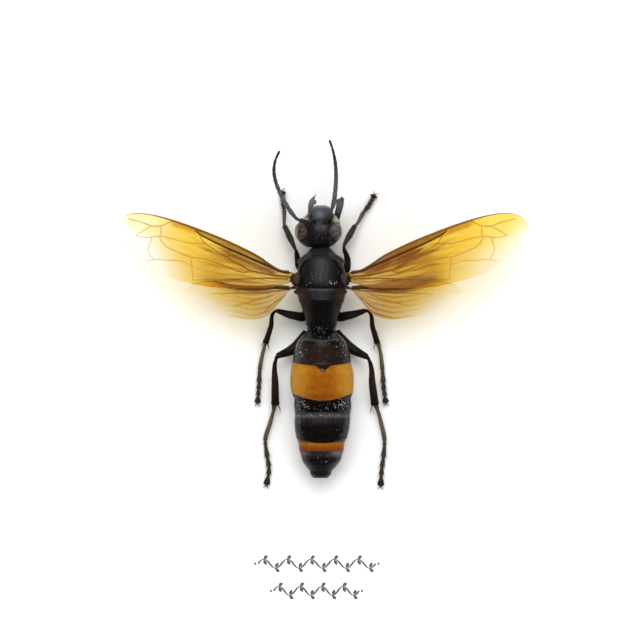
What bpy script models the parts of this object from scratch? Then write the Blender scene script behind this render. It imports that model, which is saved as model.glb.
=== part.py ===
"""A spread wasp glued on a square white mounting board.

Frame: metres, +Z up, +Y towards the insect's head, +X towards its right side. The origin is the centre
of the board's back face, so the board lies on z = 0 and the insect lies above its front face.

Every table below is in millimetres, with heights measured from the board's front face. The wasp's
pieces hang under an empty that stands on that face, and each piece has its own origin at its root.
Neighbouring pieces keep a small gap, SEAM, where the real ones meet edge to edge.
"""

import math

import bmesh
import bpy
from mathutils import Vector

MM = 0.001

# Driving dimensions of the board.
BOARD_SIDE = 80.0
BOARD_THICKNESS = 2.5
BOARD_EDGE_BEVEL = 0.15

# Gap between two pieces that meet.
SEAM = 0.06

# Facets of the round pieces. The limbs' count and the body's count are the same all along a piece.
LIMB_SIDES = 8
BODY_SIDES = 16

# The wasp's trunk, from the neck to the tail: each segment is a stack of oval sections.
# A section is (forward, sideways, height, half width, half height).
TRUNK = {
    "pronotum": [
        (7.95, 0.08, 3.60, 1.15, 0.95),
        (7.60, 0.10, 3.60, 1.60, 1.45),
        (7.10, 0.12, 3.60, 2.05, 1.85),
        (6.75, 0.13, 3.60, 2.30, 2.05),
    ],
    "mesothorax": [
        (6.69, 0.13, 3.60, 2.32, 2.08),
        (5.60, 0.14, 3.60, 2.60, 2.32),
        (4.60, 0.15, 3.60, 2.72, 2.40),
        (3.60, 0.15, 3.60, 2.72, 2.38),
        (2.70, 0.15, 3.60, 2.62, 2.25),
        (2.20, 0.15, 3.58, 2.50, 2.12),
    ],
    "propodeum": [
        (2.14, 0.15, 3.58, 2.45, 2.06),
        (1.20, 0.15, 3.55, 2.12, 1.85),
        (0.30, 0.15, 3.50, 1.80, 1.60),
        (-0.50, 0.16, 3.42, 1.50, 1.30),
        (-1.20, 0.17, 3.35, 1.25, 1.05),
    ],
    "gaster_segment_1": [
        (-1.28, 0.17, 3.32, 1.45, 1.15),
        (-1.60, 0.17, 3.30, 1.95, 1.60),
        (-2.20, 0.17, 3.25, 2.52, 2.10),
        (-3.20, 0.18, 3.20, 2.95, 2.50),
        (-4.20, 0.20, 3.20, 3.20, 2.72),
        (-4.80, 0.20, 3.20, 3.28, 2.80),
    ],
    "gaster_segment_2": [
        (-4.86, 0.20, 3.20, 3.32, 2.82),
        (-5.80, 0.22, 3.20, 3.50, 2.88),
        (-6.80, 0.22, 3.20, 3.55, 2.90),
        (-7.80, 0.24, 3.16, 3.45, 2.84),
        (-8.35, 0.26, 3.12, 3.32, 2.76),
        (-8.70, 0.28, 3.10, 3.18, 2.68),
    ],
    "gaster_segment_3": [
        (-8.76, 0.28, 3.08, 3.20, 2.68),
        (-9.50, 0.30, 3.05, 3.18, 2.66),
        (-10.30, 0.30, 3.00, 3.08, 2.60),
    ],
    "gaster_segment_4": [
        (-10.36, 0.28, 3.00, 3.10, 2.60),
        (-11.50, 0.25, 2.94, 3.10, 2.54),
        (-12.60, 0.22, 2.86, 2.96, 2.42),
        (-13.20, 0.20, 2.80, 2.78, 2.28),
        (-13.50, 0.18, 2.76, 2.62, 2.16),
    ],
    "gaster_segment_5": [
        (-13.56, 0.17, 2.74, 2.58, 2.12),
        (-14.10, 0.17, 2.68, 2.52, 2.06),
        (-14.60, 0.17, 2.62, 2.44, 2.00),
    ],
    "gaster_segment_6": [
        (-14.66, 0.17, 2.60, 2.42, 1.98),
        (-15.30, 0.17, 2.52, 2.15, 1.76),
        (-16.00, 0.14, 2.42, 1.70, 1.40),
        (-16.65, 0.10, 2.32, 1.20, 1.00),
    ],
    "gaster_segment_7": [
        (-16.71, 0.08, 2.30, 1.12, 0.94),
        (-17.20, 0.06, 2.22, 0.95, 0.74),
        (-17.60, 0.05, 2.16, 0.58, 0.44),
    ],
}

# The head capsule, face up, from the back of the head to the front edge of the clypeus.
# It is narrow between the eyes, which stand on its two sides.
HEAD_CAPSULE = [
    (8.05, 0.05, 3.50, 1.15, 0.85),
    (8.30, 0.00, 3.55, 1.85, 1.25),
    (8.68, -0.08, 3.60, 2.18, 1.48),
    (8.76, -0.10, 3.60, 1.32, 1.50),
    (9.80, -0.19, 3.65, 1.28, 1.60),
    (10.90, -0.15, 3.60, 1.24, 1.44),
    (11.30, -0.10, 3.55, 1.28, 1.30),
    (11.90, -0.02, 3.50, 1.20, 1.08),
    (12.40, 0.04, 3.46, 1.06, 0.82),
    (12.65, 0.08, 3.45, 0.82, 0.58),
]

# Each compound eye: a dome with its flat side against the capsule.
EYE_MIDDLE = (9.84, 3.62)  # forward, height
EYE_HALF_LENGTH = 1.06
EYE_HALF_HEIGHT = 1.36
EYES = {"left": (-1.53, -2.78), "right": (1.15, 2.40)}  # sideways: flat side, outermost point
EYE_RINGS = 4

# Slender pieces: a route of (sideways, forward, height, radius) stations.
ANTENNAE = {
    "antenna_scape_left": [
        (-0.98, 10.72, 5.36, 0.17),
        (-1.35, 10.82, 5.42, 0.27),
        (-2.05, 10.98, 5.50, 0.28),
        (-2.36, 11.08, 5.52, 0.20),
    ],
    "antenna_flagellum_left": [
        (-2.44, 11.12, 5.52, 0.20),
        (-3.10, 11.80, 5.30, 0.27),
        (-3.80, 12.90, 4.90, 0.26),
        (-4.45, 14.15, 4.45, 0.25),
        (-4.92, 15.35, 4.10, 0.23),
        (-5.12, 16.60, 3.85, 0.20),
        (-4.95, 17.80, 3.65, 0.15),
        (-4.50, 18.80, 3.55, 0.06),
    ],
    "antenna_scape_right": [
        (0.42, 10.68, 5.36, 0.17),
        (0.62, 11.02, 5.44, 0.27),
        (1.00, 11.56, 5.58, 0.28),
        (1.16, 11.80, 5.62, 0.20),
    ],
    "antenna_flagellum_right": [
        (1.19, 11.88, 5.62, 0.20),
        (1.52, 13.00, 5.40, 0.29),
        (1.70, 14.40, 5.00, 0.27),
        (1.78, 15.80, 4.62, 0.25),
        (1.74, 17.00, 4.34, 0.22),
        (1.60, 18.10, 4.12, 0.18),
        (1.36, 19.10, 3.96, 0.13),
        (1.05, 20.00, 3.86, 0.06),
    ],
}
MANDIBLES = {
    "mandible_left": [
        (-1.02, 11.60, 2.40, 0.24),
        (-1.04, 12.50, 2.36, 0.26),
        (-0.86, 13.35, 2.30, 0.27),
        (-0.58, 14.15, 2.22, 0.06),
    ],
    "mandible_right": [
        (1.92, 11.55, 2.90, 0.30),
        (2.12, 12.40, 2.76, 0.34),
        (2.30, 13.20, 2.62, 0.32),
        (2.44, 13.66, 2.54, 0.12),
    ],
}

# The legs. The coxa sits under the trunk; the femur carries the knee up and outwards, the tibia comes
# down to the board, and the tarsus lies along it.
LEGS = {
    "fore_left": {
        "coxa": [(-1.10, 5.10, 1.10, 0.28), (-1.60, 5.50, 1.05, 0.42), (-2.10, 5.80, 1.15, 0.26)],
        "femur": [(-2.26, 5.90, 1.30, 0.24), (-2.50, 6.90, 1.55, 0.36), (-2.68, 7.75, 2.05, 0.22)],
        "tibia": [(-2.78, 7.95, 2.05, 0.18), (-3.35, 9.20, 1.60, 0.30), (-3.98, 10.55, 1.10, 0.24)],
        "tarsus": [
            (-4.00, 10.72, 1.00, 0.16),
            (-4.00, 12.20, 0.72, 0.20),
            (-4.14, 13.40, 0.50, 0.22),
            (-4.24, 14.40, 0.40, 0.14),
        ],
    },
    "fore_right": {
        "coxa": [(1.30, 4.90, 1.10, 0.28), (1.85, 5.25, 1.05, 0.42), (2.45, 5.40, 1.15, 0.26)],
        "femur": [(2.74, 5.42, 1.30, 0.24), (3.06, 6.70, 1.60, 0.38), (2.66, 8.00, 2.10, 0.22)],
        "tibia": [(2.70, 8.22, 2.10, 0.18), (3.26, 9.40, 1.62, 0.30), (3.92, 10.55, 1.10, 0.24)],
        "tarsus": [
            (4.10, 10.72, 1.00, 0.16),
            (4.78, 11.90, 0.74, 0.20),
            (5.50, 12.90, 0.54, 0.22),
            (6.10, 14.00, 0.40, 0.14),
        ],
    },
    "mid_left": {
        "coxa": [(-0.75, 1.90, 1.05, 0.30), (-1.15, 1.35, 1.00, 0.46), (-1.60, 0.70, 1.12, 0.28)],
        "femur": [(-1.82, 0.42, 1.30, 0.34), (-2.90, 0.50, 1.66, 0.46), (-4.85, 1.05, 2.40, 0.22)],
        "tibia": [(-5.06, 0.92, 2.38, 0.17), (-5.50, -0.80, 1.70, 0.25), (-6.10, -2.60, 0.95, 0.30)],
        "tarsus": [
            (-6.18, -2.86, 0.84, 0.17),
            (-6.72, -5.30, 0.50, 0.20),
            (-6.85, -7.40, 0.40, 0.21),
            (-7.00, -9.30, 0.38, 0.16),
        ],
    },
    "mid_right": {
        "coxa": [(1.00, 1.90, 1.05, 0.30), (1.40, 1.35, 1.00, 0.46), (1.82, 0.70, 1.12, 0.28)],
        "femur": [(2.04, 0.42, 1.30, 0.34), (3.10, 0.50, 1.66, 0.46), (5.18, 1.08, 2.40, 0.22)],
        "tibia": [(5.42, 0.94, 2.38, 0.17), (5.88, -0.80, 1.70, 0.25), (6.42, -2.60, 0.95, 0.30)],
        "tarsus": [
            (6.54, -2.86, 0.84, 0.17),
            (6.98, -5.30, 0.50, 0.20),
            (7.14, -7.40, 0.40, 0.21),
            (7.38, -9.30, 0.38, 0.16),
        ],
    },
    "hind_left": {
        "coxa": [(-0.55, -0.20, 1.20, 0.30), (-0.85, -0.85, 1.10, 0.46), (-1.30, -1.50, 0.98, 0.30)],
        "femur": [(-1.55, -1.80, 0.94, 0.34), (-2.80, -3.10, 1.06, 0.60), (-4.80, -4.05, 2.16, 0.34)],
        "tibia": [(-4.94, -4.46, 2.20, 0.20), (-5.02, -7.20, 1.60, 0.36), (-5.00, -9.55, 0.98, 0.40)],
        "tarsus": [
            (-5.12, -9.90, 0.84, 0.18),
            (-5.60, -11.60, 0.62, 0.21),
            (-6.12, -13.30, 0.46, 0.20),
            (-5.95, -15.10, 0.40, 0.21),
            (-5.72, -16.80, 0.38, 0.21),
            (-6.00, -18.50, 0.36, 0.16),
        ],
    },
    "hind_right": {
        "coxa": [(0.88, -0.20, 1.20, 0.30), (1.16, -0.85, 1.10, 0.46), (1.60, -1.45, 0.98, 0.30)],
        "femur": [(1.86, -1.75, 0.94, 0.34), (3.15, -2.95, 1.06, 0.60), (5.30, -4.15, 2.16, 0.34)],
        "tibia": [(5.50, -4.54, 2.20, 0.20), (5.86, -7.20, 1.60, 0.36), (6.16, -9.55, 0.98, 0.40)],
        "tarsus": [
            (6.36, -9.90, 0.84, 0.18),
            (6.86, -11.60, 0.62, 0.21),
            (7.22, -13.30, 0.46, 0.20),
            (7.14, -15.10, 0.40, 0.21),
            (6.92, -16.80, 0.38, 0.21),
            (6.80, -18.60, 0.36, 0.16),
        ],
    },
}

# The wings: stations of (outboard, front edge, rear edge), measured from the root. One shape serves both
# sides, mirrored, and each side has its own root and its own length, because the left pair is more worn.
FOREWING = [
    (-0.75, 0.22, -0.30),
    (0.00, 0.44, -0.72),
    (1.20, 0.60, -0.90),
    (2.20, 1.15, -0.95),
    (3.60, 2.10, -1.00),
    (5.56, 3.12, -1.00),
    (7.78, 4.06, -0.90),
    (10.00, 5.00, -0.72),
    (12.00, 5.74, -0.46),
    (14.00, 6.38, -0.02),
    (15.80, 6.80, 0.86),
    (17.20, 6.93, 1.94),
    (18.50, 6.76, 3.24),
    (19.40, 6.30, 4.36),
    (19.90, 5.66, 5.26),
]
HINDWING = [
    (-0.50, 0.10, -0.10),
    (0.20, 0.16, -0.33),
    (0.70, 0.22, -0.80),
    (1.20, 0.26, -1.42),
    (1.80, 0.28, -2.16),
    (2.50, 0.26, -2.88),
    (3.45, 0.20, -3.32),
    (4.70, 0.20, -3.48),
    (6.00, 0.24, -3.36),
    (7.20, 0.42, -3.14),
    (8.40, 0.68, -2.80),
    (9.70, 0.76, -2.32),
    (10.90, 0.60, -1.66),
    (12.00, 0.22, -0.98),
    (12.55, -0.10, -0.42),
]
# Root (sideways, forward, height), length against the table's, and the height gained per unit outboard
# and per unit forward.
WINGS = {
    "forewing_left": (FOREWING, (-3.24, 4.89, 4.95), -0.985, (0.03, 0.05)),
    "forewing_right": (FOREWING, (3.33, 4.89, 4.95), 1.0, (0.03, 0.05)),
    "hindwing_left": (HINDWING, (-3.20, 3.55, 4.46), -0.95, (0.02, 0.10)),
    "hindwing_right": (HINDWING, (3.33, 3.55, 4.46), 1.0, (0.02, 0.10)),
}
WING_THICKNESS = 0.10

# The small shields over the forewing roots: middle (sideways, forward, height) and half sizes.
TEGULAE = {"tegula_left": (-2.80, 4.62, 5.30), "tegula_right": (2.90, 4.62, 5.30)}
TEGULA_HALF = (0.42, 0.66, 0.22)

# The dab of glue that holds the thorax on the board.
GLUE_MIDDLE = (0.15, 3.60)  # sideways, forward
GLUE_PROFILE = [(1.30, SEAM), (1.22, 0.34), (0.92, 0.74), (0.48, 1.04)]  # radius, height

# Colour, roughness and metallic value of each material.
FINISHES = {
    "board_white": ((0.86, 0.86, 0.85), 0.85, 0.0),
    "chitin_black": ((0.018, 0.017, 0.020), 0.35, 0.0),
    "chitin_brown": ((0.060, 0.040, 0.024), 0.45, 0.0),
    "chitin_orange": ((0.52, 0.25, 0.05), 0.35, 0.0),
    "eye_olive": ((0.11, 0.09, 0.06), 0.25, 0.0),
    "wing_amber": ((0.62, 0.36, 0.07), 0.30, 0.0),
    "glue_clear": ((0.70, 0.66, 0.55), 0.20, 0.0),
}
ORANGE_SEGMENTS = ("gaster_segment_2", "gaster_segment_5")
SHARP_ANGLE = 50.0  # degrees: edges turned further than this stay sharp in a smooth piece


def clear_scene():
    """Removes every object that the file opened with."""
    for old in list(bpy.data.objects):
        bpy.data.objects.remove(old)


def make_materials():
    """Returns one Principled material for each finish."""
    made = {}
    for name, (colour, roughness, metallic) in FINISHES.items():
        material = bpy.data.materials.new(name)
        material.use_nodes = True
        shader = material.node_tree.nodes["Principled BSDF"]
        shader.inputs["Base Color"].default_value = (*colour, 1.0)
        shader.inputs["Roughness"].default_value = roughness
        shader.inputs["Metallic"].default_value = metallic
        made[name] = material
    return made


def add_empty(name, parent, height):
    """An empty for others to hang under, at a height in millimetres above its parent."""
    empty = bpy.data.objects.new(name, None)
    bpy.context.scene.collection.objects.link(empty)
    empty.parent = parent
    empty.location.z = height * MM
    return empty


def add_piece(name, mesh, root, material, parent, smooth=True):
    """Links a bmesh as a named piece with its origin at root, a point in the parent's frame."""
    bmesh.ops.translate(mesh, vec=-root, verts=mesh.verts)
    bmesh.ops.recalc_face_normals(mesh, faces=mesh.faces)
    data = bpy.data.meshes.new(name)
    mesh.to_mesh(data)
    mesh.free()
    data.materials.append(material)
    if smooth:
        data.shade_smooth()
        data.set_sharp_from_angle(angle=math.radians(SHARP_ANGLE))
    piece = bpy.data.objects.new(name, data)
    bpy.context.scene.collection.objects.link(piece)
    piece.parent = parent
    piece.location = root
    return piece


def point(sideways, forward, height):
    """A point in metres from millimetres."""
    return Vector((sideways, forward, height)) * MM


def oval_ring(centre, side, up, half_width, half_height, sides):
    """Points in metres of an oval about centre, spanned by the unit vectors side and up."""
    turns = [2 * math.pi * k / sides for k in range(sides)]
    return [
        centre + side * (half_width * MM * math.cos(turn)) + up * (half_height * MM * math.sin(turn))
        for turn in turns
    ]


def skin_rings(rings):
    """A closed bmesh through rings of the same number of points, with a flat cap at each end."""
    mesh = bmesh.new()
    loops = [[mesh.verts.new(corner) for corner in ring] for ring in rings]
    for first, second in zip(loops, loops[1:]):
        for k, corner in enumerate(first):
            after = (k + 1) % len(first)
            mesh.faces.new((corner, first[after], second[after], second[k]))
    mesh.faces.new(loops[0])
    mesh.faces.new(loops[-1])
    return mesh


def add_trunk_piece(name, sections, material, parent):
    """A segment whose oval sections stand square to the body's length."""
    side, up = Vector((1, 0, 0)), Vector((0, 0, 1))
    rings = [
        oval_ring(point(sideways, forward, height), side, up, half_width, half_height, BODY_SIDES)
        for forward, sideways, height, half_width, half_height in sections
    ]
    forward, sideways, height = sections[0][:3]
    return add_piece(name, skin_rings(rings), point(sideways, forward, height), material, parent)


def add_limb(name, stations, material, parent):
    """A tapering round piece along a route of stations."""
    route = [point(*station[:3]) for station in stations]
    rings = []
    for k, centre in enumerate(route):
        before, after = route[max(k - 1, 0)], route[min(k + 1, len(route) - 1)]
        along = (after - before).normalized()
        side = along.cross(Vector((0, 0, 1))).normalized()
        radius = stations[k][3]
        rings.append(oval_ring(centre, side, side.cross(along), radius, radius, LIMB_SIDES))
    return add_piece(name, skin_rings(rings), route[0], material, parent)


def add_eye(name, flat_side, outermost, material, parent):
    """Half an ellipsoid, grown sideways from its flat side against the head."""
    forward, height = EYE_MIDDLE
    ahead, up = Vector((0, 1, 0)), Vector((0, 0, 1))
    rings = []
    for k in range(EYE_RINGS):
        climb = 0.5 * math.pi * k / EYE_RINGS
        share = math.cos(climb)
        centre = point(flat_side + (outermost - flat_side) * math.sin(climb), forward, height)
        half_length, half_height = EYE_HALF_LENGTH * share, EYE_HALF_HEIGHT * share
        rings.append(oval_ring(centre, ahead, up, half_length, half_height, BODY_SIDES))
    return add_piece(name, skin_rings(rings), point(flat_side, forward, height), material, parent)


def add_wing(name, stations, root, stretch, rise, material, parent):
    """A thin plate through chords from the front edge to the rear edge, each with a middle point."""
    sideways, forward, height = root
    outboard_rise, forward_rise = rise
    half = WING_THICKNESS / 2
    rings = []
    for outboard, front, rear in stations:
        chord = (front, (front + rear) / 2, rear)
        corners = [(ahead, half) for ahead in chord] + [(ahead, -half) for ahead in reversed(chord)]
        across = sideways + stretch * outboard
        level = height + outboard_rise * outboard
        rings.append(
            [point(across, forward + ahead, level + forward_rise * ahead + up) for ahead, up in corners]
        )
    return add_piece(name, skin_rings(rings), point(*root), material, parent, smooth=False)


def add_tegula(name, middle, material, parent):
    """A low oval shield over a wing root."""
    mesh = bmesh.new()
    bmesh.ops.create_icosphere(mesh, subdivisions=2, radius=1.0)
    bmesh.ops.scale(mesh, vec=point(*TEGULA_HALF), verts=mesh.verts)
    bmesh.ops.translate(mesh, vec=point(*middle), verts=mesh.verts)
    return add_piece(name, mesh, point(*middle), material, parent)


def add_glue(name, material, parent):
    """A round, flat-topped dab on the board."""
    side, ahead = Vector((1, 0, 0)), Vector((0, 1, 0))
    rings = [
        oval_ring(point(*GLUE_MIDDLE, height), side, ahead, radius, radius, BODY_SIDES)
        for radius, height in GLUE_PROFILE
    ]
    return add_piece(name, skin_rings(rings), point(*GLUE_MIDDLE, 0), material, parent)


def add_board(name, material, parent):
    """The square board, its edges slightly eased."""
    mesh = bmesh.new()
    bmesh.ops.create_cube(mesh, size=1.0)
    bmesh.ops.scale(mesh, vec=point(BOARD_SIDE, BOARD_SIDE, BOARD_THICKNESS), verts=mesh.verts)
    bmesh.ops.translate(mesh, vec=point(0, 0, BOARD_THICKNESS / 2), verts=mesh.verts)
    board = add_piece(name, mesh, point(0, 0, 0), material, parent, smooth=False)
    bevel = board.modifiers.new("eased_edges", "BEVEL")
    bevel.width = BOARD_EDGE_BEVEL * MM
    bevel.segments = 2
    return board


def main():
    """Builds the board and the wasp, piece by piece."""
    clear_scene()
    finish = make_materials()
    specimen = add_empty("specimen", None, 0)
    wasp = add_empty("wasp", specimen, BOARD_THICKNESS)

    add_board("mounting_board", finish["board_white"], specimen)
    add_glue("glue_dab", finish["glue_clear"], wasp)
    for name, sections in TRUNK.items():
        colour = "chitin_orange" if name in ORANGE_SEGMENTS else "chitin_black"
        add_trunk_piece(name, sections, finish[colour], wasp)
    add_trunk_piece("head_capsule", HEAD_CAPSULE, finish["chitin_black"], wasp)
    for side, (flat_side, outermost) in EYES.items():
        add_eye(f"eye_{side}", flat_side, outermost, finish["eye_olive"], wasp)
    for name, stations in {**ANTENNAE, **MANDIBLES}.items():
        add_limb(name, stations, finish["chitin_black"], wasp)
    for leg, segments in LEGS.items():
        for segment, stations in segments.items():
            colour = "chitin_brown" if segment == "tarsus" else "chitin_black"
            add_limb(f"{segment}_{leg}", stations, finish[colour], wasp)
    for name, (stations, root, stretch, rise) in WINGS.items():
        add_wing(name, stations, root, stretch, rise, finish["wing_amber"], wasp)
    for name, middle in TEGULAE.items():
        add_tegula(name, middle, finish["chitin_brown"], wasp)


main()
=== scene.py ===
"""The looks of a dried wasp with spread wings, glued flat on a white mounting board.

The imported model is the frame. Each detailed piece is worked out from the rings of the CAD node that it
replaces, so it lies where the frame says. Lengths in this file are millimetres unless a name says
otherwise, and a mesh turns them into metres when it is made. +Z is up from the board, +Y is towards the
wasp's head and +X towards its right side.
"""

from __future__ import annotations

import logging
import math
from dataclasses import dataclass, field
from enum import Enum
from typing import Callable, Sequence

import bpy
import numpy as np
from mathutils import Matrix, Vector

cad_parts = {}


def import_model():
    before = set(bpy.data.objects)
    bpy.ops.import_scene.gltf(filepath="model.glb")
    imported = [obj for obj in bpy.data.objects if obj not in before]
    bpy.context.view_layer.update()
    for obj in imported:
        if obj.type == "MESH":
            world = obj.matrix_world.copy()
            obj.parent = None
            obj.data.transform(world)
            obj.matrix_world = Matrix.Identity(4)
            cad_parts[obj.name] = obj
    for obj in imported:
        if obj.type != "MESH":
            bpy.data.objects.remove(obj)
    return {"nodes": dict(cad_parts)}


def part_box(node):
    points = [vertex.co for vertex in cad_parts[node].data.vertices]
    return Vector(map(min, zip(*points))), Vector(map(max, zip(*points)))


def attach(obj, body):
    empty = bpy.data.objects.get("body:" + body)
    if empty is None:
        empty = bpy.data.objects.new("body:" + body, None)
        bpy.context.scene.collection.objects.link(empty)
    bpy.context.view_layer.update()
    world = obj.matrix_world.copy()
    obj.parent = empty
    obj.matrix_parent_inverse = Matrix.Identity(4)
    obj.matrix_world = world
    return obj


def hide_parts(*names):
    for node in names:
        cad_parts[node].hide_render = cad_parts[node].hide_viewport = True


LOG = logging.getLogger("wasp")
MM = 0.001
BODY = "root"
UP = np.array((0.0, 0.0, 1.0))

# Corners in each ring of the CAD nodes.
LIMB_CORNERS = 8
TRUNK_CORNERS = 16

# x of the insect's middle line.
MIDDLE = 0.12

# How square the head's sections are: 2 is an oval.
HEAD_FULLNESS = 2.15

# Half the thickness of a wing's film.
HALF_FILM = 0.028

# Lowest height of a claw's tip, just over the board.
CLAW_FLOOR = 2.58

# Places inside the body from which the limbs are followed outwards.
FEELER_ROOT = np.array((MIDDLE, 10.8, 6.0))
JAW_ROOT = np.array((0.2, 11.0, 5.5))
LEG_ROOT = np.array((0.1, 3.0, 5.0))

Array = np.ndarray
Marks = dict[str, np.ndarray]
Colour = tuple[float, float, float]


class Slot(Enum):
    """The record's material slots."""

    BOARD = "white_board"
    BLACK = "black_chitin"
    BROWN = "brown_chitin"
    ORANGE = "orange_chitin"
    EYE = "compound_eye"
    WING = "amber_wing"
    GLUE = "clear_glue"
    INK = "grey_ink"


# ---- Shapes as arrays ----


def smooth_through(knots: Array, values: Array, at: Array) -> Array:
    """A curve through values at rising knots, read at the places in at.

    Cubic Hermite pieces: each knot's slope is the weighted mean of its two neighbours' slopes, and past
    either end the curve goes on along its end slope.

    Args:
        knots: rising places, shape (n,).
        values: what the curve has there, shape (n,) or (n, d).
        at: places to read, any shape (m,).

    Returns:
        Values at those places, shape (m,) or (m, d).
    """
    knots, values, at = (np.asarray(given, float) for given in (knots, values, at))
    slopes = np.gradient(values, knots, axis=0)
    span = np.clip(np.searchsorted(knots, at, side="right") - 1, 0, len(knots) - 2)
    held = np.clip(at, knots[0], knots[-1])
    width = knots[span + 1] - knots[span]
    t = (held - knots[span]) / width
    past = at - held
    end_slope = slopes[np.where(past > 0, len(knots) - 1, 0)]
    if values.ndim > 1:
        t, width, past = t[:, None], width[:, None], past[:, None]
    start_part = (1 + 2 * t) * (1 - t) ** 2 * values[span] + t * (1 - t) ** 2 * width * slopes[span]
    end_part = t**2 * (3 - 2 * t) * values[span + 1] + t**2 * (t - 1) * width * slopes[span + 1]
    return start_part + end_part + past * end_slope


def rise(low: float, high: float, at: Array) -> Array:
    """Smoothstep: 0 below low, 1 above high, 3t^2 - 2t^3 between."""
    t = np.clip((at - low) / (high - low), 0.0, 1.0)
    return t * t * (3 - 2 * t)


def hill(at: Array, middle: float, half_width: float) -> Array:
    """A bell exp(-(d/w)^2) of height 1 about middle."""
    return np.exp(-(((at - middle) / half_width) ** 2))


def unit(vectors: Array) -> Array:
    """The vectors scaled to length 1."""
    return vectors / np.maximum(np.linalg.norm(vectors, axis=-1, keepdims=True), 1e-12)


def turns(count: int) -> Array:
    """Equal steps of angle once round, in radians."""
    return np.linspace(0.0, 2 * math.pi, count, endpoint=False)


@dataclass
class Skin:
    """One or more closed surfaces: corners in millimetres, faces, and numbers held at each corner."""

    points: Array
    quads: Array
    triangles: Array
    marks: Marks = field(default_factory=dict)

    def volume(self) -> float:
        """The signed volume, positive when the faces point outwards: a sixth of the sum of a.(b x c)."""
        halves = [self.triangles, self.quads[:, (0, 1, 2)], self.quads[:, (0, 2, 3)]]
        a, b, c = (self.points[np.concatenate(halves)[:, k]] for k in range(3))
        return float(np.einsum("ij,ij->i", a, np.cross(b, c)).sum() / 6)

    def outward(self) -> Skin:
        """The same skin with its faces turned outwards."""
        if self.volume() >= 0:
            return self
        return Skin(self.points, self.quads[:, ::-1], self.triangles[:, ::-1], self.marks)

    @staticmethod
    def joined(skins: Sequence[Skin]) -> Skin:
        """Several skins as one mesh, each still closed by itself."""
        starts = np.cumsum([0] + [len(skin.points) for skin in skins[:-1]])
        names = skins[0].marks.keys()
        return Skin(
            np.concatenate([skin.points for skin in skins]),
            np.concatenate([skin.quads + start for skin, start in zip(skins, starts)]),
            np.concatenate([skin.triangles + start for skin, start in zip(skins, starts)]),
            {name: np.concatenate([skin.marks[name] for skin in skins]) for name in names},
        )


def closed(rings: Array, marks: Marks | None = None) -> Skin:
    """A closed skin over rings: quads between neighbours and a fan to a pole at each end.

    Args:
        rings: corners, shape (rows, columns, 3), each row once round.
        marks: numbers at the corners, each of shape (rows, columns).

    Returns:
        The skin, its faces outwards. A pole lies in the middle of its end ring.
    """
    rows, columns = rings.shape[:2]
    poles = np.stack([rings[0].mean(0), rings[-1].mean(0)])
    points = np.concatenate([rings.reshape(-1, 3), poles])
    k = np.arange(columns)
    after = (k + 1) % columns
    starts = (np.arange(rows - 1) * columns)[:, None]
    quads = np.stack([starts + k, starts + after, starts + columns + after, starts + columns + k], -1)
    first, last = rows * columns, rows * columns + 1
    top = (rows - 1) * columns
    fans = [
        np.stack([after, k, np.full(columns, first)], -1),
        np.stack([top + k, top + after, np.full(columns, last)], -1),
    ]
    held = {
        name: np.concatenate([grid.ravel(), [grid[0].mean(), grid[-1].mean()]])
        for name, grid in (marks or {}).items()
    }
    return Skin(points, quads.reshape(-1, 4), np.concatenate(fans), held).outward()


def striped(rings: Array, rows: Marks) -> Skin:
    """A closed skin whose marks are the same all round each ring: rows holds one number to a ring."""
    shape = rings.shape[:2]
    return closed(rings, {name: np.broadcast_to(row[:, None], shape) for name, row in rows.items()})


def sweep(path: Array, half_width: Array, half_height: Array, columns: int) -> Array:
    """Oval rings square to a path: centre + side * w cos(a) + up * h sin(a).

    Args:
        path: centres, shape (n, 3).
        half_width: half the width across the path, level with the board, shape (n,).
        half_height: half the height across the path, shape (n,).
        columns: corners in a ring.

    Returns:
        Rings, shape (n, columns, 3).
    """
    along = unit(np.gradient(path, axis=0))
    side = unit(np.cross(along, UP))
    up = np.cross(side, along)
    angle = turns(columns)
    across = (half_width[:, None] * np.cos(angle))[..., None] * side[:, None]
    upward = (half_height[:, None] * np.sin(angle))[..., None] * up[:, None]
    return path[:, None] + across + upward


def spike(root: Array, tip: Array, radius: float, bend: Array, columns: int = 6, rows: int = 7) -> Skin:
    """A tapering spine from root to tip: its path bowed by bend * 4t(1 - t), its radius r(1 - t)^0.8."""
    t = np.linspace(0.0, 0.97, rows)
    path = root + (tip - root) * t[:, None] + bend * (4 * t * (1 - t))[:, None]
    width = radius * (1 - t) ** 0.8
    return closed(sweep(path, width, width, columns))


def normals_of(rings: Array) -> Array:
    """Outward unit normals of a ring grid: the cross product of its two directions, turned outwards."""
    along = np.gradient(rings, axis=0)
    around = np.roll(rings, -1, 1) - np.roll(rings, 1, 1)
    normal = unit(np.cross(around, along))
    outwards = rings - rings.mean(1, keepdims=True)
    facing = np.sign((normal * outwards).sum(-1, keepdims=True))
    return normal * np.where(facing == 0, 1.0, facing)


# ---- The frame's shapes ----


def corners_of(node: str) -> Array:
    """Distinct corners of a CAD node, in millimetres, shape (n, 3)."""
    mesh = FRAME_NODES[node].data
    flat = np.empty(len(mesh.vertices) * 3, np.float32)
    mesh.vertices.foreach_get("co", flat)
    return np.unique(np.round(flat.reshape(-1, 3).astype(float) / MM, 3), axis=0)


def box_mm(node: str) -> tuple[Array, Array]:
    """Lowest and highest corner of a CAD node, in millimetres."""
    low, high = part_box(node)
    return np.array(low) / MM, np.array(high) / MM


FRAME_NODES: dict[str, bpy.types.Object] = {}


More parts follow.
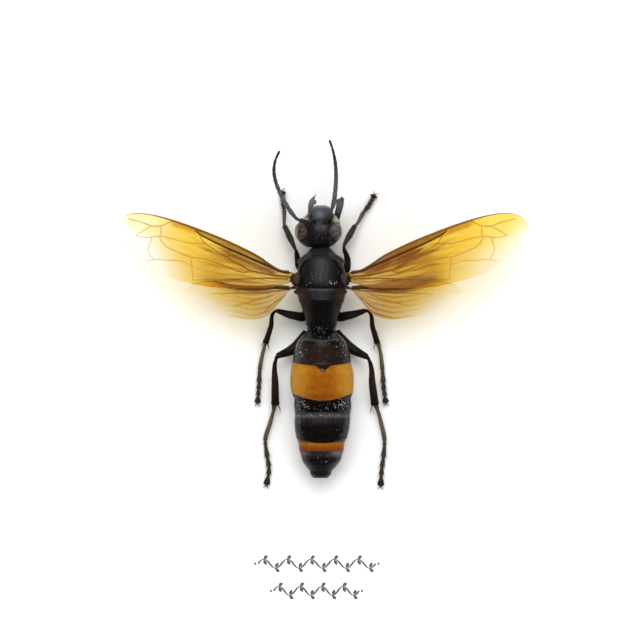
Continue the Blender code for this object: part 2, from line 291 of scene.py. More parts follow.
@dataclass(frozen=True)
class Route:
    """A limb's middle line and thickness, read from the rings of its CAD node.

    Attributes:
        centres: the rings' middles, root first, shape (n, 3).
        radii: the rings' radii, shape (n,).
    """

    centres: Array
    radii: Array

    @classmethod
    def of_node(cls, node: str, near: Array) -> Route:
        """Reads a node's rings in order along its longest direction, starting at the end nearest to near."""
        corners = corners_of(node)
        spread = corners - corners.mean(0)
        longest = np.linalg.svd(spread, full_matrices=False)[2][0]
        rings = corners[np.argsort(spread @ longest)].reshape(-1, LIMB_CORNERS, 3)
        centres = rings.mean(1)
        radii = np.linalg.norm(rings - centres[:, None], axis=-1).mean(1)
        if np.linalg.norm(centres[-1] - near) < np.linalg.norm(centres[0] - near):
            centres, radii = centres[::-1], radii[::-1]
        gap = centres[0] - near
        if np.linalg.norm(gap) < 0.6:
            centres = np.vstack([near - 0.12 * gap, centres])
            radii = np.concatenate([radii[:1], radii])
        return cls(centres, radii)

    def read(self, t: Array) -> tuple[Array, Array]:
        """Middle points and radii at shares t of the length, on a smooth curve through the rings."""
        steps = np.linalg.norm(np.diff(self.centres, axis=0), axis=1)
        share = np.concatenate([[0.0], np.cumsum(steps)]) / steps.sum()
        held = smooth_through(share, np.column_stack([self.centres, self.radii]), t)
        return held[:, :3], np.maximum(held[:, 3], 0.02)


@dataclass(frozen=True)
class Envelope:
    """The oval sections of a piece of the trunk, read from its CAD node, from front to back.

    Attributes:
        back: how far back each section lies, which is -y, rising, shape (n,).
        form: sideways middle, height of the middle, half width and half height, shape (n, 4).
    """

    back: Array
    form: Array

    @classmethod
    def of_node(cls, node: str) -> Envelope:
        """Reads the rings of a trunk node."""
        corners = corners_of(node)
        rings = corners[np.argsort(-corners[:, 1], kind="stable")].reshape(-1, TRUNK_CORNERS, 3)
        low, high = rings.min(1), rings.max(1)
        middle, half = (low + high) / 2, (high - low) / 2
        return cls(-middle[:, 1], np.column_stack([middle[:, 0], middle[:, 2], half[:, 0], half[:, 2]]))

    @property
    def front(self) -> float:
        """y of the front section."""
        return float(-self.back[0])

    @property
    def rear(self) -> float:
        """y of the rear section."""
        return float(-self.back[-1])

    def surface(self, y: Array, angle: Array, proud: Array, fullness: float) -> Array:
        """Points of the surface at forward places y and angles round the body.

        A superellipse: x = middle + (w + proud) sgn(cos)|cos|^p and z likewise with sin, p = 2 / fullness.
        Angle 0 is the right side and a quarter turn is the back.
        """
        form = smooth_through(self.back, self.form, -y.ravel()).reshape(*y.shape, 4)
        power = 2.0 / fullness
        cos, sin = np.cos(angle), np.sin(angle)
        x = form[..., 0] + np.maximum(form[..., 2] + proud, 0.02) * np.sign(cos) * np.abs(cos) ** power
        z = form[..., 1] + np.maximum(form[..., 3] + proud, 0.02) * np.sign(sin) * np.abs(sin) ** power
        return np.stack([x, y, z], -1)


# ---- Shader graphs ----

Operand = "Value | float"


@dataclass(frozen=True)
class Value:
    """A number that varies over a surface. Operators add Math nodes to its graph."""

    graph: Graph
    socket: bpy.types.NodeSocket

    def maths(self, operation: str, *others: Operand, swap: bool = False, clamp: bool = False) -> Value:
        """The result of a Math node on this value and others.

        Args:
            operation: the Math node's operation.
            others: the further inputs.
            swap: True puts this value second.
            clamp: True holds the result between 0 and 1.

        Returns:
            The node's result.
        """
        inputs: list[Operand] = [self, *others]
        if swap:
            inputs = inputs[::-1]
        settings = {"operation": operation, "use_clamp": clamp}
        made = self.graph.node("ShaderNodeMath", settings, dict(enumerate(inputs)))
        return Value(self.graph, made.outputs[0])

    def __add__(self, other: Operand) -> Value:
        """This plus other."""
        return self.maths("ADD", other)

    __radd__ = __add__

    def __mul__(self, other: Operand) -> Value:
        """This times other."""
        return self.maths("MULTIPLY", other)

    __rmul__ = __mul__

    def __sub__(self, other: Operand) -> Value:
        """This less other."""
        return self.maths("SUBTRACT", other)

    def __rsub__(self, other: Operand) -> Value:
        """Other less this."""
        return self.maths("SUBTRACT", other, swap=True)

    def absolute(self) -> Value:
        """This without its sign."""
        return self.maths("ABSOLUTE")

    def held(self) -> Value:
        """This held between 0 and 1."""
        return self.maths("ADD", 0.0, clamp=True)

    def rising(self, low: float, high: float) -> Value:
        """Smoothstep: 0 at low and 1 at high; low may be the greater, for a falling step."""
        flip = low > high
        settings = {"interpolation_type": "SMOOTHSTEP"}
        sockets = {"Value": self, "From Min": min(low, high), "From Max": max(low, high)}
        step = Value(self.graph, self.graph.node("ShaderNodeMapRange", settings, sockets).outputs["Result"])
        return 1 - step if flip else step

    def near(self, middle: float, half_width: float) -> Value:
        """1 at middle, falling smoothly to 0 at half_width on either side."""
        return (self - middle).absolute().rising(half_width, 0.0)


class Graph:
    """A material under construction."""

    def __init__(self, name: str) -> None:
        """Starts an empty material of that name."""
        self.material = bpy.data.materials.new(name)
        self.material.use_nodes = True
        self.tree = self.material.node_tree
        self.tree.nodes.clear()

    def node(self, kind: str, settings: dict[str, object], inputs: dict[object, object]) -> bpy.types.Node:
        """Adds a node: its settings first, then its sockets' values or links.

        Args:
            kind: the node's type.
            settings: properties by name.
            inputs: numbers, tuples, values or output sockets by the input's name or index.

        Returns:
            The node.
        """
        made = self.tree.nodes.new(kind)
        for name, setting in settings.items():
            setattr(made, name, setting)
        for key, given in inputs.items():
            socket = made.inputs[key]
            if isinstance(given, Value):
                given = given.socket
            if isinstance(given, bpy.types.NodeSocket):
                self.tree.links.new(given, socket)
            elif socket.type == "RGBA" and len(given) == 3:
                socket.default_value = (*given, 1.0)
            else:
                socket.default_value = given
        return made

    def place(self) -> bpy.types.NodeSocket:
        """Object coordinates in millimetres."""
        at = self.node("ShaderNodeTexCoord", {}, {}).outputs["Object"]
        return self.scaled(at, (1 / MM, 1 / MM, 1 / MM))

    def scaled(self, vector: bpy.types.NodeSocket, by: Colour) -> bpy.types.NodeSocket:
        """A vector times another, axis by axis."""
        return self.node("ShaderNodeVectorMath", {"operation": "MULTIPLY"}, {0: vector, 1: by}).outputs[0]

    def axes(self, vector: bpy.types.NodeSocket) -> tuple[Value, Value, Value]:
        """A vector's three numbers."""
        parts = self.node("ShaderNodeSeparateXYZ", {}, {0: vector}).outputs
        return Value(self, parts[0]), Value(self, parts[1]), Value(self, parts[2])

    def mark(self, name: str) -> Value:
        """A number that the mesh holds at its corners."""
        made = self.node("ShaderNodeAttribute", {"attribute_name": name}, {})
        return Value(self, made.outputs["Fac"])

    def noise(
        self, at: bpy.types.NodeSocket, scale: float, detail: float = 4.0, rough: float = 0.55
    ) -> Value:
        """Fractal noise from 0 to 1."""
        sockets = {"Vector": at, "Scale": scale, "Detail": detail, "Roughness": rough}
        return Value(self, self.node("ShaderNodeTexNoise", {}, sockets).outputs[0])

    def cells(self, at: bpy.types.NodeSocket, scale: float) -> Value:
        """Distance to the nearest of scattered points, from 0 at a point."""
        return Value(self, self.node("ShaderNodeTexVoronoi", {}, {"Vector": at, "Scale": scale}).outputs[0])

    def blend(self, share: Operand, first: object, second: object) -> bpy.types.NodeSocket:
        """A colour between first, at share 0, and second, at share 1."""
        settings = {"data_type": "RGBA"}
        return self.node("ShaderNodeMix", settings, {0: share, 6: first, 7: second}).outputs[2]

    def bump(self, height: Value, depth_mm: float, strength: float = 1.0) -> bpy.types.NodeSocket:
        """A normal from a height field whose full range is depth_mm deep."""
        sockets = {"Strength": strength, "Distance": depth_mm * MM, "Height": height}
        return self.node("ShaderNodeBump", {}, sockets).outputs[0]

    def clear(self, colour: Colour = (1.0, 1.0, 1.0)) -> bpy.types.NodeSocket:
        """A see-through shader that tints what lies behind it."""
        return self.node("ShaderNodeBsdfTransparent", {}, {"Color": colour}).outputs[0]

    def layered(self, share: Operand, first: object, second: object) -> bpy.types.NodeSocket:
        """A mix of two shaders, all first at share 0 and all second at share 1."""
        return self.node("ShaderNodeMixShader", {}, {0: share, 1: first, 2: second}).outputs[0]

    def principled(self, inputs: dict[object, object]) -> bpy.types.NodeSocket:
        """A Principled shader with those sockets."""
        return self.node("ShaderNodeBsdfPrincipled", {}, inputs).outputs[0]

    def finish(self, shader: bpy.types.NodeSocket) -> bpy.types.Material:
        """Shows shader on the surface and returns the material."""
        self.node("ShaderNodeOutputMaterial", {}, {0: shader})
        return self.material


# ---- Finishes ----


@dataclass(frozen=True)
class Chitin:
    """Dark or coloured horn-like skin: mottled, finely pitted, with a soft gloss.

    Attributes:
        name: the material's name.
        colour: its main colour.
        tint: the colour of its paler clouds.
        roughness: how dull its gloss is.
        gloss: the shader's specular level, 0.5 for plain horn.
        pits: pits to a millimetre.
        pit_depth: how deep a pit is, in millimetres.
        streak: how strong the fine lengthwise streaks are.
        sheen: how much fine down greys it.
        dust: how much pale dust lies on it.
    """

    name: str
    colour: Colour
    tint: Colour
    roughness: float = 0.38
    gloss: float = 0.5
    pits: float = 7.0
    pit_depth: float = 0.012
    streak: float = 0.3
    sheen: float = 0.0
    dust: float = 0.1

    def hue(self, graph: Graph, place: bpy.types.NodeSocket, clouds: Value) -> bpy.types.NodeSocket:
        """The colour over the surface, before dust."""
        return graph.blend(clouds, self.colour, self.tint)

    def material(self) -> bpy.types.Material:
        """Builds the material."""
        graph = Graph(self.name)
        place = graph.place()
        clouds = graph.noise(place, 1.6, 5.0).rising(0.38, 0.72)
        streaks = graph.noise(graph.scaled(place, (9.0, 1.1, 9.0)), 1.0, 3.0)
        fine = graph.noise(place, 34.0, 3.0)
        pits = graph.cells(place, self.pits).rising(0.32, 0.02)
        dust = (graph.noise(place, 11.0, 6.0, 0.7).rising(0.58, 0.75) * self.dust).held()
        shade = self.hue(graph, place, (clouds * 0.7 + (streaks - 0.5) * self.streak).held())
        shade = graph.blend(dust, shade, (0.30, 0.29, 0.27))
        height = fine * 0.25 + streaks * (0.5 * self.streak) - pits
        rough = (clouds * 0.10 + fine * 0.08 + dust * 0.3 + (self.roughness - 0.08)).held()
        sockets: dict[object, object] = {
            "Base Color": shade,
            "Roughness": rough,
            "Normal": graph.bump(height, self.pit_depth),
            "Specular IOR Level": self.gloss,
        }
        if self.sheen > 0:
            sockets.update({"Sheen Weight": self.sheen, "Sheen Roughness": 0.45})
        return graph.finish(graph.principled(sockets))


@dataclass(frozen=True)
class Marked(Chitin):
    """Chitin whose mesh also holds marks: "pale" and "rust" share in two more colours and "dark" dims it.

    Attributes:
        pale: the colour where the mark "pale" is 1; on several dark plates, the jaws, feelers and tegulae
            that mark lays painted sheen and highlights.
        rust: the colour where the mark "rust" is 1.
        dark: the colour where the mark "dark" is 1; on the head and the shield it also lays painted shade in
            pits, grooves and seams.
    """

    pale: Colour = (0.30, 0.28, 0.26)
    rust: Colour = (0.20, 0.06, 0.02)
    dark: Colour = (0.008, 0.007, 0.008)

    def hue(self, graph: Graph, place: bpy.types.NodeSocket, clouds: Value) -> bpy.types.NodeSocket:
        """The clouded colour with the marks over it, their borders frayed a little by noise."""
        fray = (graph.noise(place, 7.0, 5.0, 0.65) - 0.5) * 0.5
        shade = graph.blend(clouds, self.colour, self.tint)
        for name, colour in (("pale", self.pale), ("rust", self.rust), ("dark", self.dark)):
            mark = graph.mark(name)
            share = (mark + fray * mark.near(0.5, 0.5)).held()
            shade = graph.blend(share, shade, colour)
        return shade


@dataclass(frozen=True)
class Paper:
    """White card: a faint tooth, a few fibres, and plies seen on the cut edges."""

    name: str = "board_white_card"
    white: Colour = (0.89, 0.89, 0.88)

    def material(self) -> bpy.types.Material:
        """Builds the material."""
        graph = Graph(self.name)
        place = graph.place()
        _, _, height = graph.axes(place)
        tooth = graph.noise(place, 3.2, 6.0, 0.6)
        fibres = graph.noise(graph.scaled(place, (0.9, 5.0, 1.0)), 1.4, 5.0)
        plies = graph.noise(graph.scaled(place, (0.05, 0.05, 4.6)), 1.0, 2.0)
        edge = height.rising(2.46, 2.30)
        grain = (edge * ((plies - 0.5) * 0.9 + 0.35) + (fibres - 0.5) * 0.04).held()
        shade = graph.blend(grain, self.white, (0.62, 0.61, 0.585))
        sockets = {
            "Base Color": shade,
            "Roughness": (tooth * 0.1 + 0.80).held(),
            "Normal": graph.bump(tooth * 0.6 + fibres * 0.4 + plies * edge, 0.012),
            "Specular IOR Level": 0.25,
        }
        return graph.finish(graph.principled(sockets))


@dataclass(frozen=True)
class Facets:
    """A compound eye: thousands of tiny lenses over a mottled dark lining, paler round the rim."""

    name: str
    colour: Colour
    mottle: Colour
    rim: Colour
    roughness: float = 0.26

    def material(self) -> bpy.types.Material:
        """Builds the material."""
        graph = Graph(self.name)
        place = graph.place()
        clouds = graph.noise(place, 1.7, 5.0, 0.6).rising(0.36, 0.68)
        lenses = graph.cells(place, 15.0)
        rim = (graph.mark("rim") + (graph.noise(place, 4.0) - 0.5) * 0.25).held()
        shade = graph.blend(clouds, self.colour, self.mottle)
        shade = graph.blend(rim, shade, self.rim)
        shade = graph.blend(lenses.rising(0.45, 0.75) * 0.6, shade, (0.01, 0.008, 0.006))
        sockets = {
            "Base Color": shade,
            "Roughness": (clouds * 0.12 + self.roughness).held(),
            "Normal": graph.bump(1 - lenses, 0.010),
            "Coat Weight": (clouds * 0.06 + 0.02).held(),
            "Specular IOR Level": 0.22,
        }
        return graph.finish(graph.principled(sockets))


@dataclass(frozen=True)
class Membrane:
    """A wing's skin: clear and amber glass-like film in layers, with a little body colour of its own.

    The mesh holds "amber", how strongly the film is tinted, "cover", how much light it stops, and "dull",
    "rust" and "dark", which shift its body colour.
    """

    name: str = "wing_membrane"
    film: Colour = (0.970, 0.812, 0.27)
    gold: Colour = (0.54, 0.250, 0.018)
    dull: Colour = (0.46, 0.285, 0.125)
    rust: Colour = (0.245, 0.076, 0.014)
    dark: Colour = (0.024, 0.012, 0.007)

    def material(self) -> bpy.types.Material:
        """Builds the material."""
        graph = Graph(self.name)
        place = graph.place()
        pleats = graph.noise(graph.scaled(place, (0.22, 2.6, 1.0)), 1.0, 5.0, 0.6)
        cloud = graph.noise(place, 0.8, 5.0, 0.6)
        fine = graph.noise(place, 26.0, 3.0)
        body = graph.blend(graph.mark("dull"), self.gold, self.dull)
        body = graph.blend(graph.mark("rust"), body, self.rust)
        body = graph.blend(graph.mark("dark"), body, self.dark)
        body = graph.blend(((cloud - 0.5) * 0.7).held(), body, (0.72, 0.46, 0.05))
        sockets = {
            "Base Color": body,
            "Roughness": (pleats * 0.2 + 0.26).held(),
            "Normal": graph.bump(pleats * 0.8 + fine * 0.2, 0.05),
            "Specular IOR Level": 0.10,
        }
        solid = graph.principled(sockets)
        tint = (graph.mark("amber") + (cloud - 0.5) * 0.35 + (pleats - 0.5) * 0.35).held()
        film = graph.layered(tint, graph.clear(), graph.clear(self.film))
        cover = (graph.mark("cover") * (pleats * 0.8 + 0.6)).held()
        return graph.finish(graph.layered(cover, film, solid))


@dataclass(frozen=True)
class Resin:
    """Set clear glue: part see-through, glossy, with a faintly uneven face."""

    name: str = "set_clear_glue"

    def material(self) -> bpy.types.Material:
        """Builds the material."""
        graph = Graph(self.name)
        place = graph.place()
        cloud = graph.noise(place, 1.3, 4.0)
        sockets = {
            "Base Color": graph.blend(cloud, (0.72, 0.68, 0.57), (0.60, 0.54, 0.40)),
            "Roughness": (cloud * 0.15 + 0.10).held(),
            "Normal": graph.bump(cloud, 0.05),
        }
        share = (cloud * 0.3 + 0.45).held()
        return graph.finish(graph.layered(share, graph.clear(), graph.principled(sockets)))


@dataclass(frozen=True)
class Plain:
    """A dull finish of one colour mottled with another, for ink, hair and dust."""

    name: str
    colour: Colour
    tint: Colour
    roughness: float = 0.6
    scale: float = 5.0

    def material(self) -> bpy.types.Material:
        """Builds the material."""
        graph = Graph(self.name)
        cloud = graph.noise(graph.place(), self.scale, 4.0)
        sockets = {
            "Base Color": graph.blend(cloud.rising(0.35, 0.68), self.colour, self.tint),
            "Roughness": (cloud * 0.2 + (self.roughness - 0.1)).held(),
            "Normal": graph.bump(cloud, 0.004),
        }
        return graph.finish(graph.principled(sockets))


# ---- Pieces ----


def add_piece(
    name: str, skin: Skin, finish: object, nodes: Sequence[str] = ()
) -> bpy.types.Object:
    """Makes a piece of the object from a skin, and says which CAD nodes it stands for.

    Args:
        name: the piece's name.
        skin: its surface in millimetres.
        finish: what makes its material.
        nodes: CAD nodes that it replaces.

    Returns:
        The piece.
    """
    mesh = bpy.data.meshes.new(name)
    faces = [*skin.quads.tolist(), *skin.triangles.tolist()]
    mesh.from_pydata((skin.points * MM).tolist(), [], faces)
    for mark, numbers in skin.marks.items():
        mesh.attributes.new(mark, "FLOAT", "POINT").data.foreach_set("value", numbers.astype(np.float32))
    mesh.polygons.foreach_set("use_smooth", np.ones(len(faces), bool))
    if finish.name not in bpy.data.materials:
        finish.material()
    mesh.materials.append(bpy.data.materials[finish.name])
    piece = bpy.data.objects.new(name, mesh)
    bpy.context.scene.collection.objects.link(piece)
    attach(piece, BODY)
    if nodes:
        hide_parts(*nodes)
    LOG.info("%s: %d faces for %s", name, len(faces), ", ".join(nodes) or "no CAD node")
    return piece


def dress(node: str, skin: Skin, finish: object) -> bpy.types.Object:
    """Makes the detailed piece that stands for one CAD node."""
    return add_piece(f"{node}_detail", skin, finish, (node,))


def bristles(roots: Array, tips: Array, radius: float, sag: Array, columns: int = 3, rows: int = 4) -> Skin:
    """Many tapering hairs at once, each bent by sag * t^2 towards its tip.

    Args:
        roots: where they start, shape (n, 3).
        tips: where they would end if straight, shape (n, 3).
        radius: the radius at a root.
        sag: how far the tips are bent, shape (3,) or (n, 3).
        columns: corners round a hair.
        rows: rings along a hair.

    Returns:
        One skin of n closed hairs.
    """
    t = np.linspace(0.0, 0.95, rows)[:, None]
    bent = np.broadcast_to(sag, roots.shape)[:, None] * t**2
    path = roots[:, None] + (tips - roots)[:, None] * t + bent
    along = unit(tips - roots)
    side = unit(np.cross(along, UP + np.array((0.013, 0.007, 0.0))))
    up = np.cross(side, along)
    angle = turns(columns)
    ring = np.cos(angle)[:, None] * side[:, None] + np.sin(angle)[:, None] * up[:, None]
    rings = path[:, :, None] + radius * (1 - t)[..., None] * ring[:, None]
    return many(rings)


def many(rings: Array) -> Skin:
    """Closed skins over many ring grids of one layout, shape (n, rows, columns, 3), as one skin."""
    count = len(rings)
    model = closed(rings[0])
    poles = np.stack([rings[:, 0].mean(1), rings[:, -1].mean(1)], 1)
    points = np.concatenate([rings.reshape(count, -1, 3), poles], 1)
    starts = (np.arange(count) * points.shape[1])[:, None, None]
    quads = (model.quads[None] + starts).reshape(-1, 4)
    triangles = (model.triangles[None] + starts).reshape(-1, 3)
    return Skin(points.reshape(-1, 3), quads, triangles)


def line_distance(x: Array, y: Array, line: Sequence[tuple[float, float]]) -> Array:
    """Distance in plan from each (x, y) to a broken line."""
    nearest = np.full(x.shape, 1e9)
    for (x0, y0), (x1, y1) in zip(line[:-1], line[1:]):
        across, ahead = x1 - x0, y1 - y0
        share = np.clip(((x - x0) * across + (y - y0) * ahead) / (across**2 + ahead**2), 0.0, 1.0)
        nearest = np.minimum(nearest, np.hypot(x - x0 - share * across, y - y0 - share * ahead))
    return nearest


Shaping = Callable[[Array, Array, Array], Array]
Painting = Callable[[Array, Array, Array], Marks]


def flat_shape(x: Array, y: Array, upper: Array) -> Array:
    """No relief."""
    return np.zeros_like(x)


def no_marks(x: Array, y: Array, upper: Array) -> Marks:
    """No marks."""
    return {}


@dataclass
class Sclerite:
    """One hard plate that goes once round the body, like a ring of a telescope.

    Attributes:
        name: its name.
        envelope: the sections it follows.
        front: y of its front border.
        rear: y of its rear border.
        finish: what makes its material.
        slot: its slot in the record; not used.
        nodes: the CAD nodes that it replaces.
        front_bow: how much further forward the front border lies on the back than at the sides.
        rear_bow: how much further forward the rear border lies on the back than at the sides.
        tuck: how far its hidden front runs on under the plate before it.
        lip: how far its rear rim stands proud.
        fullness: 2 for an oval section, more for a squarer one.
        shaping: its relief from x, y and how far up the section, 1 on the back and -1 underneath.
        painting: its marks from the same.
        rows: rings along it.
        columns: corners in a ring.
        rings: its outer face's ring grid once it is built.
    """

    name: str
    envelope: Envelope
    front: float
    rear: float
    finish: object
    slot: Slot
    nodes: tuple[str, ...] = ()
    front_bow: float = 0.0
    rear_bow: float = 0.0
    tuck: float = 0.35
    lip: float = 0.03
    fullness: float = 2.0
    shaping: Shaping = flat_shape
    painting: Painting = no_marks
    rows: int = 44
    columns: int = 88
    rings: Array = field(default_factory=lambda: np.empty(0))

    def build(self) -> bpy.types.Object:
        """Builds and dresses the plate.

        The outer face is the envelope with relief. Its rear rim is rolled inwards, and its front is sunk
        under the plate before it.
        """
        angle = np.broadcast_to(turns(self.columns), (self.rows, self.columns))
        upper = np.sin(angle)
        back = np.maximum(upper, 0.0) ** 2
        share = np.linspace(0.0, 1.0, self.rows)[:, None]
        front = self.front + self.tuck + self.front_bow * back
        rear = self.rear + self.rear_bow * back
        y = front + (rear - front) * share
        behind = front - self.tuck - y
        x = self.envelope.surface(y, angle, np.zeros_like(y), self.fullness)[..., 0]
        proud = self.shaping(x, y, upper)
        proud = proud + self.lip * rise(0.30, 0.04, y - rear)
        if self.tuck > 0:
            proud = proud - 0.13 * rise(0.12, -0.10, behind)
        outer = self.envelope.surface(y, angle, proud, self.fullness)
        self.rings = outer
        edge, last = y[-1:], proud[-1:]
        rolled = [
            self.envelope.surface(edge - 0.03, angle[:1], last - 0.035, self.fullness),
            self.envelope.surface(edge - 0.01, angle[:1], last - 0.085, self.fullness),
            self.envelope.surface(edge + 0.12, angle[:1], last - 0.16, self.fullness),
        ]
        marks = {
            name: np.concatenate([grid, np.repeat(grid[-1:], 3, 0)])
            for name, grid in self.painting(x, y, upper).items()
        }
        skin = closed(np.concatenate([outer, *rolled]), marks)
        return add_piece(self.name, skin, self.finish, self.nodes)


def facing_up(at: Array, normal: Array) -> Array:
    """Places whose skin does not face down."""
    return normal[:, 2] > -0.4


def facing_aside(at: Array, normal: Array) -> Array:
    """Places whose skin faces sideways."""
    return np.abs(normal[:, 0]) > 0.35


@dataclass
class Fuzz:
    """Short hairs scattered over ring grids, leaning backwards.

    Attributes:
        name: the piece's name.
        finish: the hairs' finish.
        slot: their slot in the record; not used.
        grids: ring grids to grow them on.
        counts: hairs on each.
        length: a hair's mean length.
        radius: its radius at the root.
        lean: direction that the hairs lean towards.
        keep: which places may grow a hair, from their points and normals.
        seed: the random seed.
    """

    name: str
    finish: Plain
    slot: Slot
    grids: list[Array]
    counts: list[int]
    length: float
    radius: float = 0.012
    lean: tuple[float, float, float] = (0.0, -0.8, 0.0)
    keep: Callable[[Array, Array], Array] = facing_up
    seed: int = 7

    def build(self) -> bpy.types.Object:
        """Builds all the hairs as one piece."""
        random = np.random.default_rng(self.seed)
        roots, normals = [], []
        for grid, count in zip(self.grids, self.counts):
            row = random.uniform(0.5, grid.shape[0] - 1.5, count)
            column = random.integers(0, grid.shape[1], count)
            low = row.astype(int)
            part = (row - low)[:, None]
            at = grid[low, column] * (1 - part) + grid[low + 1, column] * part
            normal = normals_of(grid)[low, column]
            wanted = self.keep(at, normal)
            roots.append(at[wanted])
            normals.append(normal[wanted])
        root, normal = np.concatenate(roots), np.concatenate(normals)
        away = unit(normal + np.array(self.lean) + random.normal(0.0, 0.22, root.shape))
        length = self.length * random.uniform(0.55, 1.35, (len(root), 1))
        sag = np.array(self.lean) * self.length * 0.25
        skin = bristles(root - normal * 0.02, root + away * length, self.radius, sag)
        return add_piece(self.name, skin, self.finish)


# ---- The body's finishes ----

# Head: pale is a painted blue-grey reflection on the shield, rust the cheeks' cream, dark the crown and
# painted shade in the feeler sockets.
HEAD_BLACK = Marked("head_black", (0.005, 0.004, 0.004), (0.016, 0.014, 0.014), 0.34, 0.20, 8.0, 0.020,
                    dust=0.03, pale=(0.106, 0.116, 0.160), rust=(0.370, 0.352, 0.240),
                    dark=(0.002, 0.002, 0.002))
# Thorax: pale is a painted sheen of the fine down on the back; dark is painted shade in the shield's grooves
# and seam, and the waist's own dark middle.
THORAX_BLACK = Marked("thorax_black", (0.0026, 0.0020, 0.0020), (0.009, 0.0075, 0.008), 0.44, 0.14, 9.0,
                      0.022, 0.9, 0.0, 0.03, pale=(0.056, 0.055, 0.062), rust=(0.022, 0.013, 0.008),
                      dark=(0.002, 0.002, 0.002))
# Gaster black: pale is the dull margins and the tip's rim, and painted sheen and highlights on the first,
# third, fourth and sixth rings.
GASTER_BLACK = Marked("gaster_black", (0.0022, 0.0014, 0.0015), (0.007, 0.0045, 0.0045), 0.27, 0.22, 8.0,
                      0.010, 0.60, 0.0, 0.02, pale=(0.120, 0.110, 0.114), rust=(0.036, 0.018, 0.011),
                      dark=(0.0015, 0.0012, 0.0012))
# Gaster orange: pale is the fifth ring's yellow rim, and on the second ring's sides partly painted highlight.
GASTER_ORANGE = Marked("gaster_orange", (0.265, 0.076, 0.0010), (0.370, 0.130, 0.003), 0.30, 0.14, 7.0, 0.030,
                       0.60, 0.0, 0.02, pale=(0.43, 0.195, 0.012), rust=(0.170, 0.038, 0.001),
                       dark=(0.006, 0.003, 0.004))
LIMB_BLACK = Marked("limb_black", (0.0020, 0.0013, 0.0010), (0.006, 0.0038, 0.003), 0.32, 0.11, 8.0, 0.010,
                    0.3, 0.0, 0.03, pale=(0.040, 0.032, 0.026), rust=(0.034, 0.016, 0.008),
                    dark=(0.002, 0.0015, 0.0015))
FOOT_BROWN = Marked("foot_brown", (0.020, 0.013, 0.008), (0.042, 0.029, 0.018), 0.42, 0.35, 9.0, 0.010,
                    0.3, 0.0, 0.04, pale=(0.100, 0.076, 0.044), rust=(0.024, 0.012, 0.006),
                    dark=(0.005, 0.003, 0.002))
# Feelers: pale is a painted sheen on the whip.
FEELER_GREY = Marked("feeler_grey", (0.030, 0.029, 0.028), (0.056, 0.054, 0.052), 0.50, 0.22, 12.0, 0.008,
                     0.2, 0.05, 0.04, pale=(0.115, 0.118, 0.125), rust=(0.014, 0.009, 0.005),
                     dark=(0.008, 0.006, 0.005))
# Jaws: pale is a painted bluish sheen.
JAW_GREY = Marked("jaw_grey", (0.014, 0.014, 0.016), (0.034, 0.034, 0.036), 0.30, 0.30, 6.0, 0.012,
                  0.3, 0.0, 0.04, pale=(0.125, 0.126, 0.130), rust=(0.040, 0.024, 0.014),
                  dark=(0.006, 0.005, 0.005))
# Tegulae: pale is a painted highlight on the rib crests.
TEGULA_BROWN = Marked("tegula_brown", (0.024, 0.015, 0.013), (0.050, 0.035, 0.031), 0.38, 0.25, 8.0, 0.012,
                      0.6, 0.0, 0.03, pale=(0.090, 0.072, 0.064), rust=(0.050, 0.020, 0.006),
                      dark=(0.004, 0.003, 0.002))
HINGE_BROWN = Marked("hinge_brown", (0.010, 0.005, 0.003), (0.095, 0.045, 0.026), 0.34, 0.30, 6.0, 0.020, 1.2)
VEIN_BROWN = Marked("wing_vein", (0.070, 0.026, 0.006), (0.110, 0.045, 0.010), 0.42, 0.12, 10.0, 0.006,
                    0.3, 0.0, 0.0, pale=(0.44, 0.240, 0.020), rust=(0.22, 0.085, 0.008),
                    dark=(0.022, 0.014, 0.010))
# Eyes: the left eye's brown is the eyes' own colour; the right eye's bluish grey is a painted reflection.
EYE_BROWN = Facets("eye_brown", (0.105, 0.068, 0.052), (0.018, 0.010, 0.008), (0.240, 0.225, 0.120))
EYE_REFLECTION_GREY = Facets("eye_reflection_grey", (0.130, 0.130, 0.142), (0.050, 0.027, 0.024), (0.030, 0.029, 0.022))
OCELLUS = Plain("ocellus_red", (0.022, 0.008, 0.005), (0.060, 0.025, 0.016), 0.50, 3.0)
HAIR_PALE = Plain("hair_pale", (0.060, 0.046, 0.030), (0.130, 0.105, 0.075), 0.5)
HAIR_DARK = Plain("hair_dark", (0.016, 0.011, 0.008), (0.035, 0.025, 0.018), 0.5)
CLAW_PALE = Plain("claw_horn", (0.16, 0.125, 0.080), (0.050, 0.034, 0.020), 0.35, 6.0)
# Pale flakes of dust, some of them standing in for painted glints.
DUST_AND_GLINT = Plain("pale_dust_and_glint", (0.55, 0.53, 0.50), (0.28, 0.26, 0.24), 0.8, 9.0)
INK = Plain("ink_grey", (0.075, 0.075, 0.080), (0.120, 0.120, 0.125), 0.7, 6.0)
GLUE = Resin()
PAPER = Paper()
MEMBRANE = Membrane()


# ---- Head ----


